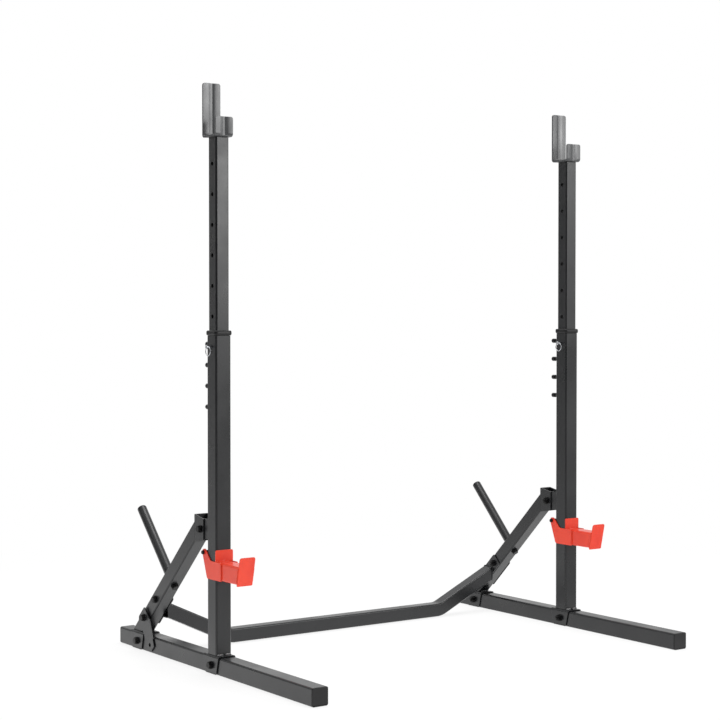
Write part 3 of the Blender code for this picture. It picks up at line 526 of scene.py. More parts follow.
class Rule(Tree):
    """A Geometry Nodes tree with named inputs."""

    def __init__(self, name, **inputs):
        super().__init__(bpy.data.node_groups.new(name, "GeometryNodeTree"))
        face = self.tree.interface
        face.new_socket("Geometry", in_out="INPUT", socket_type="NodeSocketGeometry")
        for label, (kind, value) in inputs.items():
            socket = face.new_socket(label, in_out="INPUT", socket_type="NodeSocket" + kind)
            if value is not None:
                socket.default_value = value
        face.new_socket("Finish", in_out="INPUT", socket_type="NodeSocketMaterial")
        face.new_socket("Geometry", in_out="OUTPUT", socket_type="NodeSocketGeometry")
        self.given = self.tree.nodes.new("NodeGroupInput").outputs

    def end(self, geometry):
        """Realizes the instances, sets the finish and closes the tree."""
        real = self.add("GeometryNodeRealizeInstances", Geometry=geometry)
        done = self.add("GeometryNodeSetMaterial", Geometry=real, Material=self.given["Finish"])
        self.node("NodeGroupOutput", in0=done)
        return self

    def make(self, name, mesh, look, **values):
        """Runs the tree on a mesh and returns its result as a plain piece."""
        obj = shown(name, mesh)
        modifier = obj.modifiers.new(self.tree.name, "NODES")
        modifier.node_group = self.tree
        values["Finish"] = look
        for item in self.tree.interface.items_tree:
            if item.in_out == "INPUT" and item.name in values:
                modifier[item.identifier] = values[item.name]
        return welded(plain_mesh(obj))


def polylines(name, lines):
    """A mesh of edges only, one chain for each list of points."""
    mesh = bpy.data.meshes.new(name)
    points, edges = [], []
    for line in lines:
        first = len(points)
        points += [tuple(point) for point in line]
        edges += [(first + k, first + k + 1) for k in range(len(line) - 1)]
    mesh.from_pydata(points, edges, [])
    return mesh


# %% [markdown]
# ## Square tube
#
# Steel tube is rolled round and then squeezed square, so its corners keep a radius of about two
# wall thicknesses. The rule draws the outer and the inner square along a path, rounds both with a
# Fillet Curve node and subtracts one from the other. The inner one runs a little past the ends, so
# that the cut is clean. The curve's normal is kept upright, so a tube that bends doesn't twist.

# %% The rule for square tube


def tube_rule():
    rule = Rule(
        "square tube along a path", Size=("Float", 0.04), Wall=("Float", 0.002),
        Corner=("Float", 0.005), Steps=("Int", 8),
    )
    size, wall, corner, steps = (rule.given[k] for k in ("Size", "Wall", "Corner", "Steps"))
    path = rule.add("GeometryNodeMeshToCurve", Mesh=rule.given["Geometry"])
    path = rule.add("GeometryNodeSetCurveNormal", {"mode": "Z_UP"}, Curve=path)
    inner_size = rule.maths("SUBTRACT", size, rule.maths("MULTIPLY", wall, 2.0))
    inner_corner = rule.maths("SUBTRACT", corner, wall)

    def swept(path, size, corner):
        flat = rule.add("GeometryNodeCurvePrimitiveQuadrilateral", Width=size, Height=size)
        section = rule.add(
            "GeometryNodeFilletCurve", {"mode": "POLY"}, Curve=flat, Count=steps, Radius=corner
        )
        return rule.add(
            "GeometryNodeCurveToMesh", Curve=path, Profile_Curve=section, Fill_Caps=True
        )

    skin = swept(path, size, corner)
    for start, end, step in ((1, 0, -PAST), (0, 1, PAST)):
        chosen = rule.add("GeometryNodeCurveEndpointSelection", Start_Size=start, End_Size=end)
        along = rule.add("GeometryNodeInputTangent")
        move = rule.add("ShaderNodeVectorMath", {"operation": "SCALE"}, in0=along, Scale=step)
        path = rule.add("GeometryNodeSetPosition", Geometry=path, Selection=chosen, Offset=move)
    return rule.end(rule.add(
        "GeometryNodeMeshBoolean", {"operation": "DIFFERENCE", "solver": "EXACT"},
        Mesh_1=skin, Mesh_2=swept(path, inner_size, inner_corner),
    ))


TUBE_RULE = tube_rule()
WALL, OUTER_CORNER, SLIM_CORNER = mm(2, 5, 4.5)


def square_tube(name, points, size):
    corner = OUTER_CORNER if size == TUBE else SLIM_CORNER
    path = polylines(name, [points])
    return TUBE_RULE.make(name, path, CHARCOAL, Size=size, Wall=WALL, Corner=corner)


# %% [markdown]
# ## Rows of holes
#
# The posts telescope, and a pin holds them at one of seven settings, so the holes lie at one even
# pitch. A Mesh Line node gives the row, and a cylinder on each of its points is the drill. The
# drills are subtracted from the tube before its edges are softened, so each hole gets a soft rim.

# %% The rule for a row of drills

PITCH, HOLE_RADIUS = mm(76.2, 5.5)


def drill_rule():
    rule = Rule(
        "row of drills", Count=("Int", 7), Pitch=("Float", PITCH), Radius=("Float", HOLE_RADIUS),
        Depth=("Float", 0.06),
    )
    given = rule.given
    step = rule.add("ShaderNodeCombineXYZ", Z=given["Pitch"])
    row = rule.add("GeometryNodeMeshLine", Count=given["Count"], Offset=step)
    drill = rule.add(
        "GeometryNodeMeshCylinder", Vertices=32, Radius=given["Radius"], Depth=given["Depth"]
    )
    aim = rule.add("FunctionNodeAxisAngleToRotation", Axis=(0, 1, 0), Angle=math.pi / 2)
    return rule.end(
        rule.add("GeometryNodeInstanceOnPoints", Points=row, Instance=drill, Rotation=aim)
    )


DRILL_RULE = drill_rule()


def drills(name, place, count):
    row = DRILL_RULE.make(name, bpy.data.meshes.new(name), CHARCOAL, Count=count)
    row.data.transform(Matrix.Translation(place))
    return row


print("rules for tube and drills are ready")

# %% [markdown]
# ## Base beams and posts
#
# Each side stands on one long beam. The lower post is welded to a saddle on it, and the upper post
# slides inside. Their ends and heights come from the boxes of the plain pieces. Pieces that are
# welded or bolted together stand a hair apart in the frame, and the beads close that gap.

# %% Base beams, posts and their holes

HAIR = 0.3 * MM
TUBE_EDGE = 0.4 * MM
POST_Y = middle("upper_post_left").y

for side in SIDES:
    low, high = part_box(f"base_beam_{side}")
    x, z = middle(f"base_beam_{side}").x, middle(f"base_beam_{side}").z
    beam = square_tube(f"beam_{side}", [(x, low.y, z), (x, high.y, z)], TUBE)
    stand_for(beam, f"base_beam_{side}", edge=TUBE_EDGE)

    pin_z = middle(f"locking_pin_{side}").z
    for kind, name, size, count in (
        ("lower_post", "sleeve_post", TUBE, 1), ("upper_post", "mast", SLIM, 7)
    ):
        low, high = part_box(f"{kind}_{side}")
        post = square_tube(f"{name}_{side}", [(x, POST_Y, low.z), (x, POST_Y, high.z)], size)
        combined(post, "DIFFERENCE", drills(f"{name}_holes_{side}", (x, POST_Y, pin_z), count))
        stand_for(post, f"{kind}_{side}", edge=TUBE_EDGE)
print(f"beams and posts made, holes every {PITCH / MM:.1f} mm")

# %% [markdown]
# ## Crossbar and braces
#
# The crossbar runs just above the floor and rises at both ends to meet the braces. Its bends are
# drawn in real tube with a mandrel, so they are true arcs. The path below is a list of points: a
# level run, an arc in small steps and a straight rise. The braces lean at one angle, and their
# ends are cut to the planes of what they meet.

# %% Crossbar

RISE = math.radians(25)
BEND, END_RUN = mm(60, 219)


def crossbar_path():
    centre_y = middle("crossbar").y
    centre_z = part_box("crossbar")[0].z + SLIM / 2
    level_end = middle("upper_post_right").x - END_RUN - BEND * math.tan(RISE / 2)
    half = []
    for k in range(11):
        turn = RISE * k / 10
        half.append((level_end + BEND * math.sin(turn), centre_z + BEND * (1 - math.cos(turn))))
    u, v = half[-1]
    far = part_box("crossbar")[1].x + 3 * PAST
    half.append((far, v + (far - u) * math.tan(RISE)))
    right = [(u, centre_y, v) for u, v in half]
    return [(-x, y, z) for x, y, z in reversed(right)] + right


def block(name, low, high):
    """A plain box for trimming other pieces."""
    return plate(name, [rectangle(low[0], high[0], low[1], high[1])], "Z", low[2], high[2])


crossbar = square_tube("bent_crossbar", crossbar_path(), SLIM)
low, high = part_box("crossbar")
combined(
    crossbar, "DIFFERENCE",
    block("left_trim", (low.x - 0.1, low.y - 0.1, -0.1), (low.x, high.y + 0.1, 0.4)),
    block("right_trim", (high.x, low.y - 0.1, -0.1), (high.x + 0.1, high.y + 0.1, 0.4)),
)
stand_for(crossbar, "crossbar", edge=TUBE_EDGE)
print("crossbar made,", len(crossbar.data.polygons), "faces")

# %% Braces

LEAN = math.radians(45.8)
DOWN = Vector((0, math.sin(LEAN), -math.cos(LEAN)))
OUT = Vector((0, math.cos(LEAN), math.sin(LEAN)))
BRACE_START = Vector((0, POST_Y + 195.9 * MM, 250 * MM))
STRUT_ENDS = (-0.25, 0.36)
PEG_S, LOWER_BOLT = 67.5 * MM, mm(226.2, -3)


def on_brace(s, across=0.0, x=0.0):
    """A point s down the brace from its reference point and across it, up and back."""
    return BRACE_START + DOWN * s + OUT * across + Vector((x, 0, 0))


for side in SIDES:
    x = middle(f"brace_{side}").x
    low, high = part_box(f"brace_{side}")
    strut = square_tube(f"strut_{side}", [on_brace(s, 0, x) for s in STRUT_ENDS], SLIM)
    combined(
        strut, "DIFFERENCE",
        block(f"head_trim_{side}", (x - 0.1, low.y - 0.3, 0.2), (x + 0.1, low.y, 0.7)),
        block(f"foot_trim_{side}", (x - 0.1, 0.1, low.z - 0.3), (x + 0.1, 0.6, low.z)),
    )
    stand_for(strut, f"brace_{side}", edge=TUBE_EDGE)
print("braces made at", round(math.degrees(LEAN), 1), "degrees")

# %% [markdown]
# ## Saddles
#
# A saddle is a plate folded over the beam, with side plates that taper towards the floor. The fold
# is drawn as a channel section and cropped to the side view, just as a press cuts the flat blank
# and then bends it.

# %% Saddles

PLATE = 3.0 * MM
PLATE_EDGE = 0.5 * MM


def saddle(node):
    low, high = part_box(node)
    mid = middle(node)
    outer, bend, under = (high.x - low.x) / 2, OUTER_CORNER - HAIR, -PAST
    inner, roof = outer - PLATE, high.z - PLATE
    corners = [
        (mid.x - outer, under), (mid.x - outer, high.z), (mid.x + outer, high.z),
        (mid.x + outer, under), (mid.x + inner, under), (mid.x + inner, roof),
        (mid.x - inner, roof), (mid.x - inner, under),
    ]
    radii = [0, bend + PLATE / 2, bend + PLATE / 2, 0, 0, bend, bend, 0]
    folded = plate(node + "_folded", [rounded(corners, radii)], "Y", low.y - PAST, high.y + PAST)
    half_top, half_foot, over = (high.y - low.y) / 2, 26.0 * MM, high.z + PAST
    view = [
        (mid.y - half_foot, low.z), (mid.y + half_foot, low.z), (mid.y + half_top, high.z),
        (mid.y + half_top, over), (mid.y - half_top, over), (mid.y - half_top, high.z),
    ]
    view = rounded(view, mm(4, 4, 0, 0, 0, 0))
    cropped(folded, view, "X", low.x - PAST, high.x + PAST)
    stand_for(folded, node, edge=PLATE_EDGE)


for side in SIDES:
    saddle(f"post_saddle_{side}")
    saddle(f"brace_saddle_{side}")
print("four saddles folded")

# %% [markdown]
# ## Cups
#
# The cups carry the load, so they are bent from 5 mm plate. The bend is an arc with the plate's
# own thickness between its inner and outer radius. The four free corners are rounded with a bevel
# on the short edges that run through the plate. A shallow groove is pressed down the front of the
# lip and of the back.

# %% Round the corners of a plate


def flattened(bm, degrees):
    """Joins faces that lie in one plane."""
    bmesh.ops.dissolve_limit(
        bm, angle_limit=math.radians(degrees), use_dissolve_boundaries=False, verts=bm.verts,
        edges=bm.edges,
    )


def round_corners(obj, radius, chosen):
    """Rounds the edges that the test picks by their two end points."""
    bm = bmesh.new()
    bm.from_mesh(obj.data)
    flattened(bm, 1)
    picked = [e for e in bm.edges if chosen(e.verts[0].co, e.verts[1].co)]
    bmesh.ops.bevel(
        bm, geom=picked, offset=radius, offset_type="OFFSET", segments=8, profile=0.5,
        affect="EDGES", clamp_overlap=True,
    )
    bm.to_mesh(obj.data)
    bm.free()
    return len(picked)


# %% Cups

CUP_PLATE, CUP_BEND, LIP_HEIGHT = mm(5, 4, 49.5)
GROOVE_MOUTH, GROOVE_FLOOR = 11.5, 3.0


def pressed_groove(cup, name, x, face, depth, bottom, top):
    """Cuts a trough with sloping walls into a face that looks ahead. Depth is in millimetres."""
    mouth = GROOVE_MOUTH + (GROOVE_MOUTH - GROOVE_FLOOR) / depth
    corners = [
        (x - mouth * MM, face - 1 * MM), (x + mouth * MM, face - 1 * MM),
        (x + GROOVE_FLOOR * MM, face + depth * MM), (x - GROOVE_FLOOR * MM, face + depth * MM),
    ]
    trough = rounded(corners, mm(0, 0, 5, 5))
    combined(cup, "DIFFERENCE", plate(name, [trough], "Z", bottom, top + 1 * MM))


for side in SIDES:
    node = f"j_cup_{side}"
    low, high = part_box(node)
    lip_top, back, floor = low.z + LIP_HEIGHT, high.y - CUP_PLATE, low.z + CUP_PLATE
    corners = [
        (low.y, lip_top), (low.y, low.z), (high.y, low.z), (high.y, high.z),
        (back, high.z), (back, floor), (low.y + CUP_PLATE, floor), (low.y + CUP_PLATE, lip_top),
    ]
    outer_bend = CUP_BEND + CUP_PLATE
    radii = [0, outer_bend, outer_bend, 0, 0, CUP_BEND, CUP_BEND, 0]
    cup = plate(f"bent_cup_{side}", [rounded(corners, radii, 10)], "X", low.x, high.x)

    def free_corner(a, b):
        through = abs(abs(a.y - b.y) - CUP_PLATE) < 0.1 * MM and abs(a.z - b.z) < 1e-5
        return through and min(abs(a.z - lip_top), abs(a.z - high.z)) < 1e-5

    found = round_corners(cup, 6 * MM, free_corner)
    x = middle(node).x
    pressed_groove(cup, f"lip_groove_{side}", x, low.y, 2.4, low.z - 1 * MM, high.z)
    pressed_groove(cup, f"back_groove_{side}", x, back, 2.0, low.z + 12 * MM, high.z)
    stand_for(cup, node, edge=0.7 * MM)
    print(node, "with", found, "rounded corners")

# %% [markdown]
# ## Catches
#
# A catch is hung on a stud behind the post: two side plates reach round the post, a web lies on
# its front, and a short arm ends in a leaning lip. The web and the side plates are folded from one
# blank, so they are joined to one shape. The arm and the lip are welded on with beads further down.

# %% Catch plates

LIP_LEAN = math.radians(12.5)
LIP_PLATE = PLATE / math.cos(LIP_LEAN)


def catch_plates(side):
    node = f"catch_hook_{side}"
    low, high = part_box(node)
    x, bottom = middle(node).x, low.z
    pin = middle(f"catch_cross_pin_{side}")
    thick, inner = 2.5 * MM, TUBE / 2 + HAIR
    outer = inner + thick
    rear, top, side_top = pin.y, pin.z + 9.2 * MM, pin.z - 18.2 * MM
    ear = [
        (low.y, bottom), (rear - 18.8 * MM, bottom), (rear - 15.0 * MM, bottom + 4 * MM),
        (rear + 10.5 * MM, top), (rear - 8.0 * MM, top), (rear - 32.7 * MM, side_top),
        (low.y, side_top),
    ]
    ear = rounded(ear, mm(1, 2, 2, 8.5, 8, 12, 1))
    hole = circle(pin.y, pin.z, 5.3 * MM)
    web_rear = POST_Y - TUBE / 2 - HAIR
    web = [(x - outer, bottom), (x + outer, bottom), (x + outer, high.z), (x - outer, high.z)]
    web = rounded(web, mm(0.5, 0.5, 4, 4))
    folded = plate(f"web_{side}", [web], "Y", web_rear - thick, web_rear)
    for half in (-1, 1):
        combined(folded, "UNION", plate(
            f"side_plate_{side}_{half}", [ear, hole], "X", x + half * inner, x + half * outer
        ))
    stand_for(folded, node, edge=0.6 * MM)


for side in SIDES:
    catch_plates(side)
print("catch plates cut, ears and web")

# %% Catch arms, lips and cross pins


def lip_front(side):
    """The plane of the lip's front, as y for a height: a higher point lies further ahead."""
    low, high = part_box(f"catch_lip_{side}")
    return lambda z: high.y - LIP_PLATE - (z - low.z) * math.tan(LIP_LEAN)


def round_bar(name, node, nose, edge, nose_steps, steps):
    """A bar along X in a node's place, with a rounded nose and a rounded rear edge."""
    low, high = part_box(node)
    length, radius = high.x - low.x, (high.z - low.z) / 2
    profile = [(0, length), *arc((radius - nose, length - nose), nose, 90, 0, nose_steps)]
    profile += [*arc((radius - edge, edge), edge, 0, -90, 4), (0, 0)]
    start = (low.x, middle(node).y, middle(node).z)
    return turned(name, profile, start, (1, 0, 0), steps)


for side in SIDES:
    mid = middle(f"catch_arm_{side}")
    low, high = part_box(f"catch_arm_{side}")
    front = lip_front(side)
    arm = square_tube(
        f"arm_{side}", [(mid.x, low.y - 0.04, mid.z), (mid.x, high.y, mid.z)], TUBE
    )
    below, above, behind = low.z - 2 * PAST, high.z + 2 * PAST, LIP_PLATE + HAIR
    ahead = [
        (low.y - 0.1, below), (front(below) + behind, below),
        (front(above) + behind, above), (low.y - 0.1, above),
    ]
    mitre = plate(f"mitre_{side}", [ahead], "X", mid.x - 0.04, mid.x + 0.04)
    combined(arm, "DIFFERENCE", mitre)
    stand_for(arm, f"catch_arm_{side}", edge=0.5 * MM)

    low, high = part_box(f"catch_lip_{side}")
    below, above = low.z - PAST, high.z + PAST
    leaning = [
        (front(below), below), (front(below) + LIP_PLATE, below),
        (front(above) + LIP_PLATE, above), (front(above), above),
    ]
    lip = plate(f"lip_{side}", [leaning], "X", low.x - PAST, high.x + PAST)
    view = [(low.x, low.z), (high.x, low.z), (high.x, high.z), (low.x, high.z)]
    view = rounded(view, mm(3, 3, 6, 6))
    cropped(lip, view, "Y", low.y - 3 * PAST, high.y + 3 * PAST)
    stand_for(lip, f"catch_lip_{side}", edge=0.8 * MM)

    node = f"catch_cross_pin_{side}"
    hanger = round_bar(f"hanger_{side}", node, 1 * MM, 1 * MM, 4, 40)
    stand_for(hanger, node, edge=0.1 * MM)
print("arms, lips and hanging pins made")

# %% [markdown]
# ## Hanging gusset
#
# The left gusset is a flat strap outside the brace. It hangs from the lower bolt and reaches beside
# the beam, with one hole left free. Its outline has soft corners from the press tool. The right
# gusset lies along its brace under both bolts and comes with the flat plates further below.

# %% Hanging gusset

node = "gusset_left"
x = middle("brace_left").x
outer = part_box(node)[0].x
inner = outer + PLATE
corners = [on_brace(204.5 * MM, 16 * MM).yz, on_brace(204.5 * MM, -24 * MM).yz]
corners += [
    (POST_Y + ahead * MM, up * MM)
    for ahead, up in ((298.5, 20.5), (316.5, 4.5), (330, 4.5), (341, 16), (353.5, 45))
]
corners += [on_brace(254.8 * MM, 8 * MM).yz, on_brace(245 * MM, 16 * MM).yz]
radii = mm(3, 3, 4, 3, 4, 4, 10, 4, 3)
hole = circle(POST_Y + 321.8 * MM, 21.8 * MM, HOLE_RADIUS)
strap = plate("strap_left", [rounded(corners, radii), hole], "X", inner, outer)
start = on_brace(*LOWER_BOLT, x - SLIM / 2 - HAIR)
depth = abs(inner - start.x) + 0.5 * MM
ring = [(10 * MM, depth), (10 * MM, 0), (HOLE_RADIUS, 0), (HOLE_RADIUS, depth)]
spacer = turned("spacer_left", ring, start, (-1, 0, 0))
soften(strap, PLATE_EDGE)
soften(spacer, 0.3 * MM)
stand_for(joined("gusset_strap_left", [strap, spacer]), node)
print("hanging gusset made")

# %% [markdown]
# ## Bolts, washers and nuts
#
# All the bolts are one size, so one head, one washer and one nut are modelled with care and a rule
# sets them on their points. A hex head is a prism cut by a cone: that leaves the curved chamfer
# lines that real heads have. The rule turns each piece by a random angle from a fixed seed, because
# nobody lines up bolt heads.

# %% The rule that sets pieces on points

MOST_SPIN = 1.05


def setting_rule():
    rule = Rule("pieces set on points", Piece=("Object", None), Seed=("Int", 3))
    given = rule.given
    axis = rule.add(
        "GeometryNodeInputNamedAttribute", {"data_type": "FLOAT_VECTOR"}, Name="axis"
    )
    aim = rule.add("FunctionNodeAlignRotationToVector", {"axis": "Z"}, Vector=axis)
    turn = rule.add(
        "FunctionNodeRandomValue", {"data_type": "FLOAT"}, Max=MOST_SPIN, Seed=given["Seed"]
    )
    spin = rule.add("FunctionNodeAxisAngleToRotation", Axis=(0, 0, 1), Angle=turn)
    both = rule.add(
        "FunctionNodeRotateRotation", {"rotation_space": "LOCAL"}, Rotation=aim, Rotate_By=spin
    )
    source = rule.node("GeometryNodeObjectInfo", As_Instance=True, Object=given["Piece"])
    return rule.end(rule.add(
        "GeometryNodeInstanceOnPoints", Points=given["Geometry"],
        Instance=source.outputs["Geometry"], Rotation=both,
    ))


SETTING_RULE = setting_rule()


def set_on(name, piece, places, seed=3):
    """Sets a piece of black steel on each (point, direction) pair. The piece is used up."""
    mesh = bpy.data.meshes.new(name)
    mesh.from_pydata([tuple(point) for point, axis in places], [], [])
    axes = mesh.attributes.new("axis", "FLOAT_VECTOR", "POINT")
    for k, (point, axis) in enumerate(places):
        axes.data[k].vector = axis
    made = shade(SETTING_RULE.make(name, mesh, BLACK_STEEL, Piece=piece, Seed=seed))
    bpy.data.objects.remove(piece, do_unlink=True)
    return made


# %% One head, one washer and one nut

HEX_RADIUS, CONE = 8.0 * MM / math.cos(math.pi / 6), 9.7 * MM
HEAD, NUT, WASHER, THREAD_END = mm(6.4, 8, 2, 3)


def chamfered(prism, profile):
    """A prism cut by a turned cone."""
    cone = turned(prism.name + "_cone", profile, steps=48)
    return soften(combined(prism, "INTERSECT", cone), 0.22 * MM, angle=20)


def bolt_head():
    prism = plate("head", [circle(0, 0, HEX_RADIUS, 6)], "Z", 0, HEAD)
    return chamfered(prism, [
        (0, HEAD), (7.4 * MM, HEAD), (CONE, HEAD - 1.35 * MM), (CONE, -1 * MM), (0, -1 * MM)
    ])


def washer():
    ring = [(10.0 * MM, WASHER), (10.0 * MM, 0), (5.4 * MM, 0), (5.4 * MM, WASHER)]
    return soften(turned("washer", ring, steps=48), 0.35 * MM)


def thread_rule():
    rule = Rule(
        "screw thread", Radius=("Float", 0.0044), Pitch=("Float", 0.0015), Turns=("Float", 3.5)
    )
    given = rule.given
    height = rule.maths("MULTIPLY", given["Pitch"], given["Turns"])
    helix = rule.add(
        "GeometryNodeCurveSpiral", Resolution=36, Rotations=given["Turns"],
        Start_Radius=given["Radius"], End_Radius=given["Radius"], Height=height,
    )
    ridge = rule.add("GeometryNodeCurvePrimitiveCircle", Resolution=5, Radius=0.62 * MM)
    return rule.end(rule.add(
        "GeometryNodeCurveToMesh", Curve=helix, Profile_Curve=ridge, Fill_Caps=True
    ))


def nut():
    """A nut with the threaded end of its bolt."""
    prism = plate("nut", [circle(0, 0, HEX_RADIUS, 6), circle(0, 0, 5.0 * MM)], "Z", 0, NUT)
    chamfered(prism, [
        (0, NUT), (7.5 * MM, NUT), (CONE, NUT - 1.3 * MM), (CONE, 1.3 * MM), (7.5 * MM, 0), (0, 0)
    ])
    tip = NUT + THREAD_END
    core = turned("shank_end", [
        (0, tip), (3.6 * MM, tip), (4.3 * MM, tip - 0.7 * MM), (4.3 * MM, 2 * MM), (0, 2 * MM)
    ])
    thread = thread_rule().make("thread", bpy.data.meshes.new("thread"), BLACK_STEEL)
    thread.data.transform(Matrix.Translation((0, 0, tip - 6.0 * MM)))
    return joined("nut_on_thread", [prism, core, thread])


# %% Where the fasteners sit


def fastener_places():
    heads, washers, nuts, nodes = [], [], [], []
    for side, sign in SIDES.items():
        out = Vector((sign, 0, 0))
        for name in ("post_saddle", "brace_saddle", "pivot", "upper_crossbar", "lower_crossbar"):
            node = f"{name}_bolt_{side}"
            low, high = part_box(node)
            mid = middle(node)
            tip_head, tip_nut = (low.x, high.x) if sign < 0 else (high.x, low.x)
            seat = Vector((tip_head, mid.y, mid.z)) - out * HEAD
            heads.append((seat, out))
            washers.append((seat - out * WASHER, out))
            seat = Vector((tip_nut, mid.y, mid.z)) + out * (NUT + THREAD_END)
            nuts.append((seat, -out))
            if "crossbar" not in name:
                washers.append((seat + out * WASHER, -out))
            nodes.append(node)
        face = on_brace(PEG_S, -SLIM / 2 - HAIR, middle(f"brace_{side}").x)
        washers.append((face, -OUT))
        heads.append((face - OUT * WASHER, -OUT))
        nodes.append(f"peg_bolt_{side}")
    return heads, washers, nuts, nodes


head_places, washer_places, nut_places, bolt_nodes = fastener_places()
sets = [
    set_on("heads", bolt_head(), head_places, 5),
    set_on("washers", washer(), washer_places, 7),
    set_on("nuts", nut(), nut_places, 9),
]
stand_for(joined("fasteners", sets), *bolt_nodes)
print(len(head_places), "heads,", len(washer_places), "washers and", len(nut_places), "nuts")

# %% [markdown]
# ## Hook studs
#
# The catches hang on headed studs behind the posts. Four wait in a row high up and one carries the
# catch. They are set by the same rule as the bolts.

# %% Hook studs

STUD_PITCH = 53 * MM


def stud():
    neck, tip, radius, nose = mm(24.8, 37.8, 6.3, 2.2)
    profile = [(0, tip), *arc((radius - nose, tip - nose), nose, 90, 0)]
    profile += [
        (radius, neck + 1 * MM), (radius - 0.7 * MM, neck), (4 * MM, neck), (4 * MM, -1 * MM),
        (0, -1 * MM),
    ]
    return soften(turned("stud", profile, steps=32), 0.25 * MM)


stud_places = []
for side in SIDES:
    x, face = middle(f"upper_post_{side}").x, POST_Y + TUBE / 2
    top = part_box(f"lower_post_{side}")[1].z - 22 * MM
    heights = [top - STUD_PITCH * k for k in range(4)]
    heights.append(middle(f"catch_cross_pin_{side}").z - 9.3 * MM)
    stud_places += [(Vector((x, face, z)), Vector((0, 1, 0))) for z in heights]
studs = set_on("hook_studs", stud(), stud_places)
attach(studs, "root")
print(len(stud_places), "studs")

# %% [markdown]
# ## Weld beads
#
# A weld bead is a row of overlapping ripples, left as the torch moves on in small steps. The rule
# resamples a line, gives every third point a bigger radius with a sine, adds a little noise from a
# fixed seed and sweeps a circle along it. Both ends taper, where the torch starts and stops.

# %% The rule for weld beads

EVERY_THIRD = 2.0944


def weld_rule():
    rule = Rule(
        "weld bead", Bead=("Float", 0.0018), Step=("Float", 0.0006), Ripple=("Float", 0.16),
        Seed=("Float", 1.0),
    )
    given, maths = rule.given, rule.maths
    line = rule.add("GeometryNodeMeshToCurve", Mesh=given["Geometry"])
    line = rule.add(
        "GeometryNodeResampleCurve", {"mode": "LENGTH"}, Curve=line, Length=given["Step"]
    )
    wave = maths("SINE", maths("MULTIPLY", rule.add("GeometryNodeInputIndex"), EVERY_THIRD))
    noise = rule.add(
        "ShaderNodeTexNoise", {"noise_dimensions": "4D"},
        Vector=rule.add("GeometryNodeInputPosition"), W=given["Seed"], Scale=260.0,
    )
    rough = maths("MULTIPLY", maths("SUBTRACT", noise, 0.5), 0.7)
    swell = maths("ADD", maths("ADD", maths("MULTIPLY", wave, given["Ripple"]), rough), 1.0)
    share = rule.add("GeometryNodeSplineParameter")
    near = maths("MINIMUM", share, maths("SUBTRACT", 1.0, share))
    taper = maths("POWER", maths("MINIMUM", maths("MULTIPLY", near, 14.0), 1.0), 0.5)
    taper = maths("MAXIMUM", taper, 0.15)
    radius = maths("MULTIPLY", maths("MULTIPLY", swell, taper), given["Bead"])
    bead = rule.add("GeometryNodeCurvePrimitiveCircle", Resolution=10, Radius=1.0)
    return rule.end(rule.add(
        "GeometryNodeCurveToMesh", Curve=line, Profile_Curve=bead, Scale=radius, Fill_Caps=True
    ))


WELD_RULE = weld_rule()


def weld(name, lines, body, slot, bead, seed, finish=None):
    finish = finish or FINISH[slot]
    made = WELD_RULE.make(name, polylines(name, lines), finish, Bead=bead, Seed=seed)
    made.data.shade_smooth()
    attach(made, body)
    return made


def straight(start, end):
    """A line with a few points, so that it can be resampled evenly."""
    return [Vector(start).lerp(Vector(end), k / 4) for k in range(5)]


def level_line(x, half, y, z):
    """A level line along X."""
    return straight((x - half, y, z), (x + half, y, z))


# %% [markdown]
# The beads at the foot of each post carry the pale, glossy coat, whose pale colour is a painted
# highlight, and are pieces of their own for that.

# %% Weld beads on the fixed frame


def foot_welds(side):
    x = middle(f"lower_post_{side}").x
    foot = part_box(f"lower_post_{side}")[0].z + 0.8 * MM
    reach = TUBE / 2 + 0.9 * MM
    return [
        straight((x + start * MM, y, foot), (x + end * MM, y, foot))
        for y in (POST_Y - reach, POST_Y + reach) for start, end in ((-20, -3), (3, 20))
    ]


def frame_welds(side, sign):
    lines = []
    x, slim = middle(f"lower_post_{side}").x, SLIM / 2
    low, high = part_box(f"brace_bracket_{side}")
    face = POST_Y + TUBE / 2 + 0.5 * MM
    for z in (low.z - 0.4 * MM, high.z + 0.4 * MM):
        lines.append(straight((low.x + 2 * MM, face, z), (high.x - 2 * MM, face, z)))
    low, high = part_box(f"brace_{side}")
    lean_cos, lean_sin = math.cos(LEAN), math.sin(LEAN)
    y = BRACE_START.y + (BRACE_START.z - low.z) / lean_cos * lean_sin
    for u in (x - slim - HAIR, x + slim + HAIR):
        lines.append(straight((u, y - 22 * MM, low.z), (u, y + 22 * MM, low.z)))
    reach = slim / lean_cos + HAIR
    lines += [level_line(x, 15 * MM, y + ahead, low.z) for ahead in (-reach, reach)]
    z = BRACE_START.z - (low.y - BRACE_START.y) / lean_sin * lean_cos
    reach = slim / lean_sin + HAIR
    lines += [level_line(x, 15 * MM, low.y, z + up) for up in (-reach, reach)]
    path = crossbar_path()
    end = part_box("crossbar")[1].x
    u, v, w = path[-2]
    z, side_reach, reach = w + (end - u) * math.tan(RISE), slim + 0.4 * MM, slim / math.cos(RISE)
    ring = rectangle(v - side_reach, v + side_reach, z - reach, z + reach, 5 * MM)
    lines.append([Vector((end * sign, a, b)) for a, b in ring + ring[:1]])
    for point, axis in stud_places:
        if point.x * sign > 0:
            ring = circle(point.x, point.z, 4.7 * MM, 24)
            lines.append([Vector((a, face - HAIR, b)) for a, b in ring])
    return lines


for seed, (side, sign) in enumerate(SIDES.items()):
    made = weld(
        f"frame_welds_{side}", frame_welds(side, sign), "root", "charcoal_powder_coat",
        1.7 * MM, 4.0 + seed,
    )
    print(made.name, len(made.data.polygons), "faces")
    # The foot beads take the pale coat: their pale colour is a painted highlight.
    weld(
        f"foot_welds_{side}", foot_welds(side), "root", "charcoal_powder_coat", 2.5 * MM,
        6.0 + seed, FOOT_BEAD_HIGHLIGHT_COAT,
    )

# %% Weld beads on the moving pieces

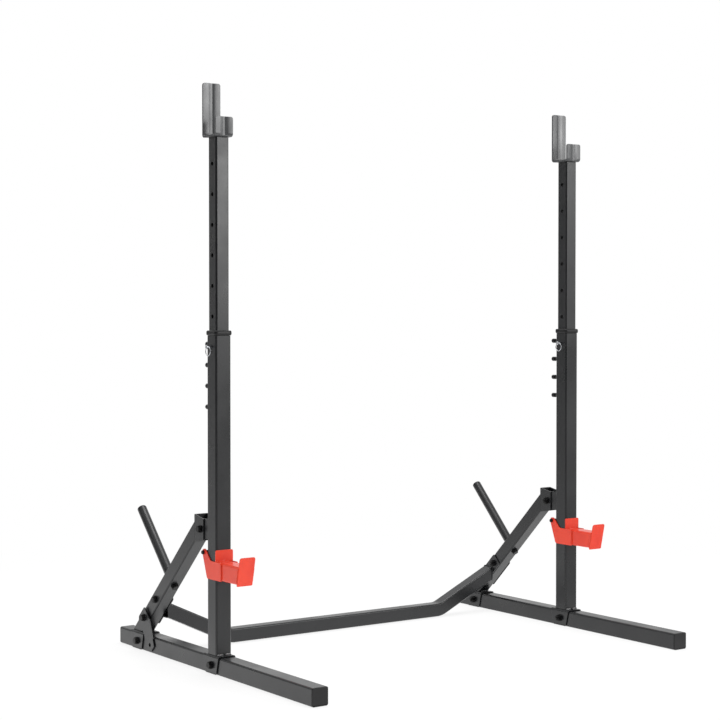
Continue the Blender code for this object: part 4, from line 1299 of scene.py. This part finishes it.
for side in SIDES:
    x = middle(f"upper_post_{side}").x
    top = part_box(f"upper_post_{side}")[1].z
    half = SLIM / 2 + HAIR
    lines = []
    for turn in range(4):
        spin = Matrix.Rotation(math.pi / 2 * turn, 4, "Z")
        ends = [spin @ Vector((u * MM, -half, 0)) + Vector((x, POST_Y, top)) for u in (-14, 14)]
        lines.append(straight(*ends))
    weld(f"cup_welds_{side}", lines, f"upper_post_{side}", "charcoal_powder_coat", 1.6 * MM, 7.0)

    arm_low, arm_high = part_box(f"catch_arm_{side}")
    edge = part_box(f"catch_hook_{side}")[0].y - 0.4 * MM
    front = lip_front(side)
    low, high = arm_low.z + 3 * MM, arm_high.z - 3 * MM
    lines = []
    for out in (-1, 1):
        u = x + out * (TUBE / 2 + HAIR)
        step = u + out * 0.8 * MM
        lines.append(straight((step, edge, low - 4 * MM), (step, edge, high)))
        lines.append(straight(*[(u, front(z) + LIP_PLATE + 0.4 * MM, z) for z in (low, high)]))
    for z in (arm_low.z - 0.2 * MM, arm_high.z + 0.2 * MM):
        for y in (front(z) + LIP_PLATE + 0.4 * MM, POST_Y - TUBE / 2 - 3.0 * MM):
            lines.append(level_line(x, 16 * MM, y, z))
    weld(f"catch_welds_{side}", lines, f"catch_{side}", "red_paint", 1.7 * MM, 9.0)
print("welds laid")

# %% [markdown]
# ## Locking pins and their rings
#
# The pins are turned from bright bar, with a rounded nose that finds the hole and a cross hole for
# the pull ring. A ring is bent from wire, so it is a torus with a fine section.

# %% Pins and rings

CROSS_HOLE = 2.3 * MM

for side in SIDES:
    node, ring_node = f"locking_pin_{side}", f"pin_ring_{side}"
    pin = round_bar(f"pin_{side}", node, 2 * MM, 1 * MM, 6, 48)
    hang = middle(ring_node)
    through = [(0, PAST), (CROSS_HOLE, PAST), (CROSS_HOLE, -PAST), (0, -PAST)]
    start = (hang.x, middle(node).y, middle(node).z)
    hole = turned(f"cross_hole_{side}", through, start, (0, 1, 0))
    stand_for(combined(pin, "DIFFERENCE", hole), node, edge=0.15 * MM)

    wire = extent(ring_node).x / 2
    major = extent(ring_node).z / 2 - wire
    turns = [-2 * math.pi * k / 14 for k in range(14)]
    section = [(major + wire * math.cos(t), wire * math.sin(t)) for t in turns]
    ring = turned(f"pull_ring_{side}", section, hang, (1, 0, 0), 72)
    ring.data.shade_smooth()
    stand_for(ring, ring_node)
print("pins and rings made")

# %% [markdown]
# ## Moulded plastic: collars and caps
#
# A collar guides the upper post. Its rim bulges, because a mould leaves every edge round. The beam
# caps are flat plugs with a soft edge and the peg caps are low domes.

# %% Collars and caps

PLUG, PLUG_CORNER = TUBE - 2 * WALL - 2 * HAIR, 2.7 * MM


def square_at(x, y, size, corner):
    half = size / 2
    return rectangle(x - half, x + half, y - half, y + half, corner)


for side in SIDES:
    node = f"post_collar_{side}"
    low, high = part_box(node)
    x, top = middle(node).x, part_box(f"lower_post_{side}")[1].z + HAIR
    bulge = square_at(x, POST_Y, high.x - low.x, 8 * MM)
    rim = plate(f"rim_{side}", [bulge], "Z", top, high.z + 1 * MM, rim=4.2 * MM)
    inside = square_at(x, POST_Y, PLUG, PLUG_CORNER)
    sleeve = plate(f"sleeve_{side}", [inside], "Z", low.z, top + 2 * MM)
    way = square_at(x, POST_Y, SLIM + 2 * HAIR, SLIM_CORNER + HAIR)
    opening = plate(f"way_{side}", [way], "Z", low.z - PAST, high.z + PAST)
    collar = combined(combined(rim, "UNION", sleeve), "DIFFERENCE", opening)
    stand_for(collar, node, edge=0.4 * MM)

    for end, inward in (("front", MM), ("rear", -MM)):
        node = f"{end}_cap_{side}"
        low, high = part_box(node)
        outer, z = low.y if inward > 0 else high.y, middle(node).z
        flat = square_at(x, z, TUBE, OUTER_CORNER)
        cover = plate(f"cover_{end}_{side}", [flat], "Y", outer, outer + inward * 3, rim=1.1 * MM)
        loops = [square_at(x, z, PLUG, PLUG_CORNER), square_at(x, z, PLUG - 4 * MM, 1 * MM)]
        plug = plate(
            f"plug_{end}_{side}", loops, "Y", outer + inward * 1.5, outer + inward * 15
        )
        soften(cover, 0.2 * MM)
        soften(plug, 0.3 * MM)
        stand_for(joined(f"beam_cap_{end}_{side}", [cover, plug]), node)
print("collars and beam caps moulded")

# %% [markdown]
# ## Storage pegs
#
# Two round tubes stand square to the braces. Each is one ring profile, turned, with a domed cap
# pressed into its end.

# %% Storage pegs

PEG_RADIUS, PEG_BORE, PEG_LENGTH, PEG_BASE = mm(12.7, 10.7, 221, 22)

for side in SIDES:
    x = middle(f"brace_{side}").x
    profile = [
        (PEG_BORE, PEG_LENGTH), (PEG_RADIUS, PEG_LENGTH), (PEG_RADIUS, 0), (HOLE_RADIUS, 0),
        (HOLE_RADIUS, PEG_BASE), (PEG_BORE, PEG_BASE),
    ]
    peg = turned(f"peg_{side}", profile, on_brace(PEG_S, SLIM / 2 + HAIR, x), OUT, 56)
    stand_for(peg, f"storage_peg_{side}", edge=0.4 * MM)

    crown, plug = 4.5 * MM, PEG_BORE - HAIR
    profile = [(0, crown), (PEG_RADIUS * 0.35, crown * 0.985)]
    profile += arc((PEG_RADIUS - crown, 0), crown, 80, 0, 8)
    profile += [(plug, 0), (plug, -12 * MM), (0, -12 * MM)]
    start = on_brace(PEG_S, SLIM / 2 + 2 * HAIR + PEG_LENGTH, x)
    cap = turned(f"domed_cap_{side}", profile, start, OUT, 56)
    stand_for(cap, f"peg_cap_{side}", edge=0.3 * MM)
print("pegs and caps turned")

# %% [markdown]
# ## Folded brackets and flat plates
#
# The forks on the braces, the brackets on the posts, the plates of the crossbar and the right
# gusset already have their true shape in the frame. A copy is welded, its flats are joined up and
# its edges softened.

# %% Soften the remaining pieces


def softened(node):
    """A copy of a frame node with joined flats and rounded edges."""
    mesh = NODES[node].data.copy()
    bm = bmesh.new()
    bm.from_mesh(mesh)
    bmesh.ops.remove_doubles(bm, verts=bm.verts, dist=SAME_POINT)
    flattened(bm, 0.6)
    bm.to_mesh(mesh)
    bm.free()
    stand_for(shown(node + "_steel", mesh), node, edge=PLATE_EDGE)


for side in SIDES:
    for name in ("brace_head", "brace_bracket", "crossbar_plate"):
        softened(f"{name}_{side}")
softened("gusset_right")
print("brackets and plates softened")

# %% [markdown]
# ## The room
#
# The rack stands on a pale floor in even studio light. Seen directly, the floor and the world are
# white; for the light that reaches the steel they are grey, so that the colours stay as written.

# %% Floor and world


def seen_directly(tree):
    """1 for rays from the camera, from mirrors and through glass, otherwise 0."""
    rays = tree.node("ShaderNodeLightPath").outputs
    seen = tree.maths("MAXIMUM", rays["Is Camera Ray"], rays["Is Glossy Ray"])
    return tree.maths("MAXIMUM", seen, rays["Is Transmission Ray"])


def mixed(tree, share, first, second):
    """A blend of two closures."""
    return tree.add("ShaderNodeMixShader", Fac=share, in1=first, in2=second)


def pale_floor(near, far, shadow_share):
    """The floor turns pure white away from the rack, so that no horizon shows."""
    bm = bmesh.new()
    bmesh.ops.create_grid(bm, x_segments=4, y_segments=4, size=30)
    mesh = bpy.data.meshes.new("floor")
    bm.to_mesh(mesh)
    bm.free()
    made = Shader("pale_floor", (0.86, 0.86, 0.86), 0.9)
    distance = made.add("ShaderNodeVectorMath", {"operation": "LENGTH"}, in0=made.place)
    share = made.add(
        "ShaderNodeMapRange", Value=distance, From_Min=near, From_Max=far, To_Min=shadow_share,
        To_Max=1.0,
    )
    share = made.maths("MULTIPLY", seen_directly(made), share)
    grey = made.tree.nodes["Principled BSDF"].outputs["BSDF"]
    look = mixed(made, share, grey, made.add("ShaderNodeEmission"))
    made.fill(made.tree.nodes["Material Output"], Surface=look)
    floor = shown("floor", mesh, made.material)
    floor.location.z = -0.5 * MM


def studio_world(level):
    world = bpy.data.worlds.new("studio")
    bpy.context.scene.world = world
    world.use_nodes = True
    made = Tree(world.node_tree)
    light = world.node_tree.nodes["Background"]
    made.fill(light, Color=(level, level, level, 1))
    white = made.add("ShaderNodeBackground", Color=(1, 1, 1, 1))
    look = mixed(made, seen_directly(made), light.outputs["Background"], white)
    made.fill(world.node_tree.nodes["World Output"], Surface=look)


pale_floor(1.1, 2.3, 0.84)
studio_world(0.60)

# %% [markdown]
# The studio behind the camera is unlit. Black gloss and chrome need that dark side: with white all
# round them they turn to plain grey. So a dark sheet stands there on a curve as a painted dark
# reflection, and a grey sheet goes on to the left as a painted grey reflection. They show in
# reflections alone and take no light from the rack.

# %% Sheets beside and behind the camera, seen only as painted reflections

RAIL_RADIUS, REFLECTOR_HEIGHT, FOLDS = 7.0, 4.0, 24


def painted_reflection_sheet(name, grey, first, last):
    """A sheet seen only in reflections, a painted reflection, between two angles in degrees,
    counted from the front towards the left.
    """
    turns = [math.radians(first + (last - first) * k / FOLDS) for k in range(FOLDS + 1)]
    rail = [(-RAIL_RADIUS * math.sin(t), -RAIL_RADIUS * math.cos(t)) for t in turns]
    points = [(x, y, z) for z in (0, REFLECTOR_HEIGHT) for x, y in rail]
    faces = [(k, k + 1, k + FOLDS + 2, k + FOLDS + 1) for k in range(FOLDS)]
    mesh = bpy.data.meshes.new(name)
    mesh.from_pydata(points, [], faces)
    made = Shader(name, (grey, grey, grey), 1.0, Specular_IOR_Level=0.0)
    reflector = shown(name, mesh, made.material)
    reflector.visible_camera = reflector.visible_diffuse = reflector.visible_shadow = False


# A dark sheet as a painted dark reflection, and a grey sheet as a painted grey reflection.
painted_reflection_sheet("dark_cloth", 0.01, -12, 95)
painted_reflection_sheet("grey_cloth", 0.72, 95, 165)

# %% [markdown]
# Four soft lamps light the rack: a big one from the front, a small one that brightens the right
# post, a disk on the floor that throws light upwards, and the ceiling.

# %% Lamps


def soft_lamp(name, place, target, size, watts):
    data = bpy.data.lights.new(name, "AREA")
    data.shape = "DISK"
    data.size = size
    data.energy = watts
    lamp = bpy.data.objects.new(name, data)
    lamp.visible_camera = False
    bpy.context.scene.collection.objects.link(lamp)
    lamp.location = place
    aim = Vector(target) - Vector(place)
    lamp.rotation_euler = aim.to_track_quat("-Z", "Y").to_euler()


soft_lamp("front softbox", (2.75, -4.75, 2.0), (0, 0, 1.1), 1.7, 105)
soft_lamp("side softbox", (4.9, -4.6, 2.35), (0.58, 0, 1.3), 1.2, 30)
soft_lamp("floor bounce", (-0.45, 0.15, 0.004), (-0.45, 0.15, 1.0), 2.7, 9)
soft_lamp("ceiling", (0.0, 0.4, 4.4), (0, 0, 0), 3.0, 150)

# %% [markdown]
# ## The camera
#
# The photograph was taken from low down on the left, with a long lens. The place, the focal length
# in pixels and the point that the lens looks at were worked out from the rack's straight edges.

# %% Camera

FRAME_PIXELS = 720
FOCAL_PIXELS = 1690.1
CENTRE_PIXELS = (360.15, 353.23)
SENSOR = 36.0
TURN = math.radians(35.143)
TILT = math.radians(-1.158)
CAMERA_PLACE = Vector((-2.7315, -3.6889, 0.8894))


def photograph_camera():
    data = bpy.data.cameras.new("camera")
    data.sensor_fit = "HORIZONTAL"
    data.sensor_width = SENSOR
    data.lens = FOCAL_PIXELS / FRAME_PIXELS * SENSOR
    data.shift_x = (FRAME_PIXELS / 2 - CENTRE_PIXELS[0]) / FRAME_PIXELS
    data.shift_y = (CENTRE_PIXELS[1] - FRAME_PIXELS / 2) / FRAME_PIXELS
    camera = bpy.data.objects.new("camera", data)
    bpy.context.scene.collection.objects.link(camera)
    camera.location = CAMERA_PLACE
    ahead = Vector((
        math.sin(TURN) * math.cos(TILT), math.cos(TURN) * math.cos(TILT), math.sin(TILT)
    ))
    camera.rotation_euler = ahead.to_track_quat("-Z", "Y").to_euler()
    bpy.context.scene.camera = camera


photograph_camera()
bpy.context.scene.view_settings.view_transform = "Standard"
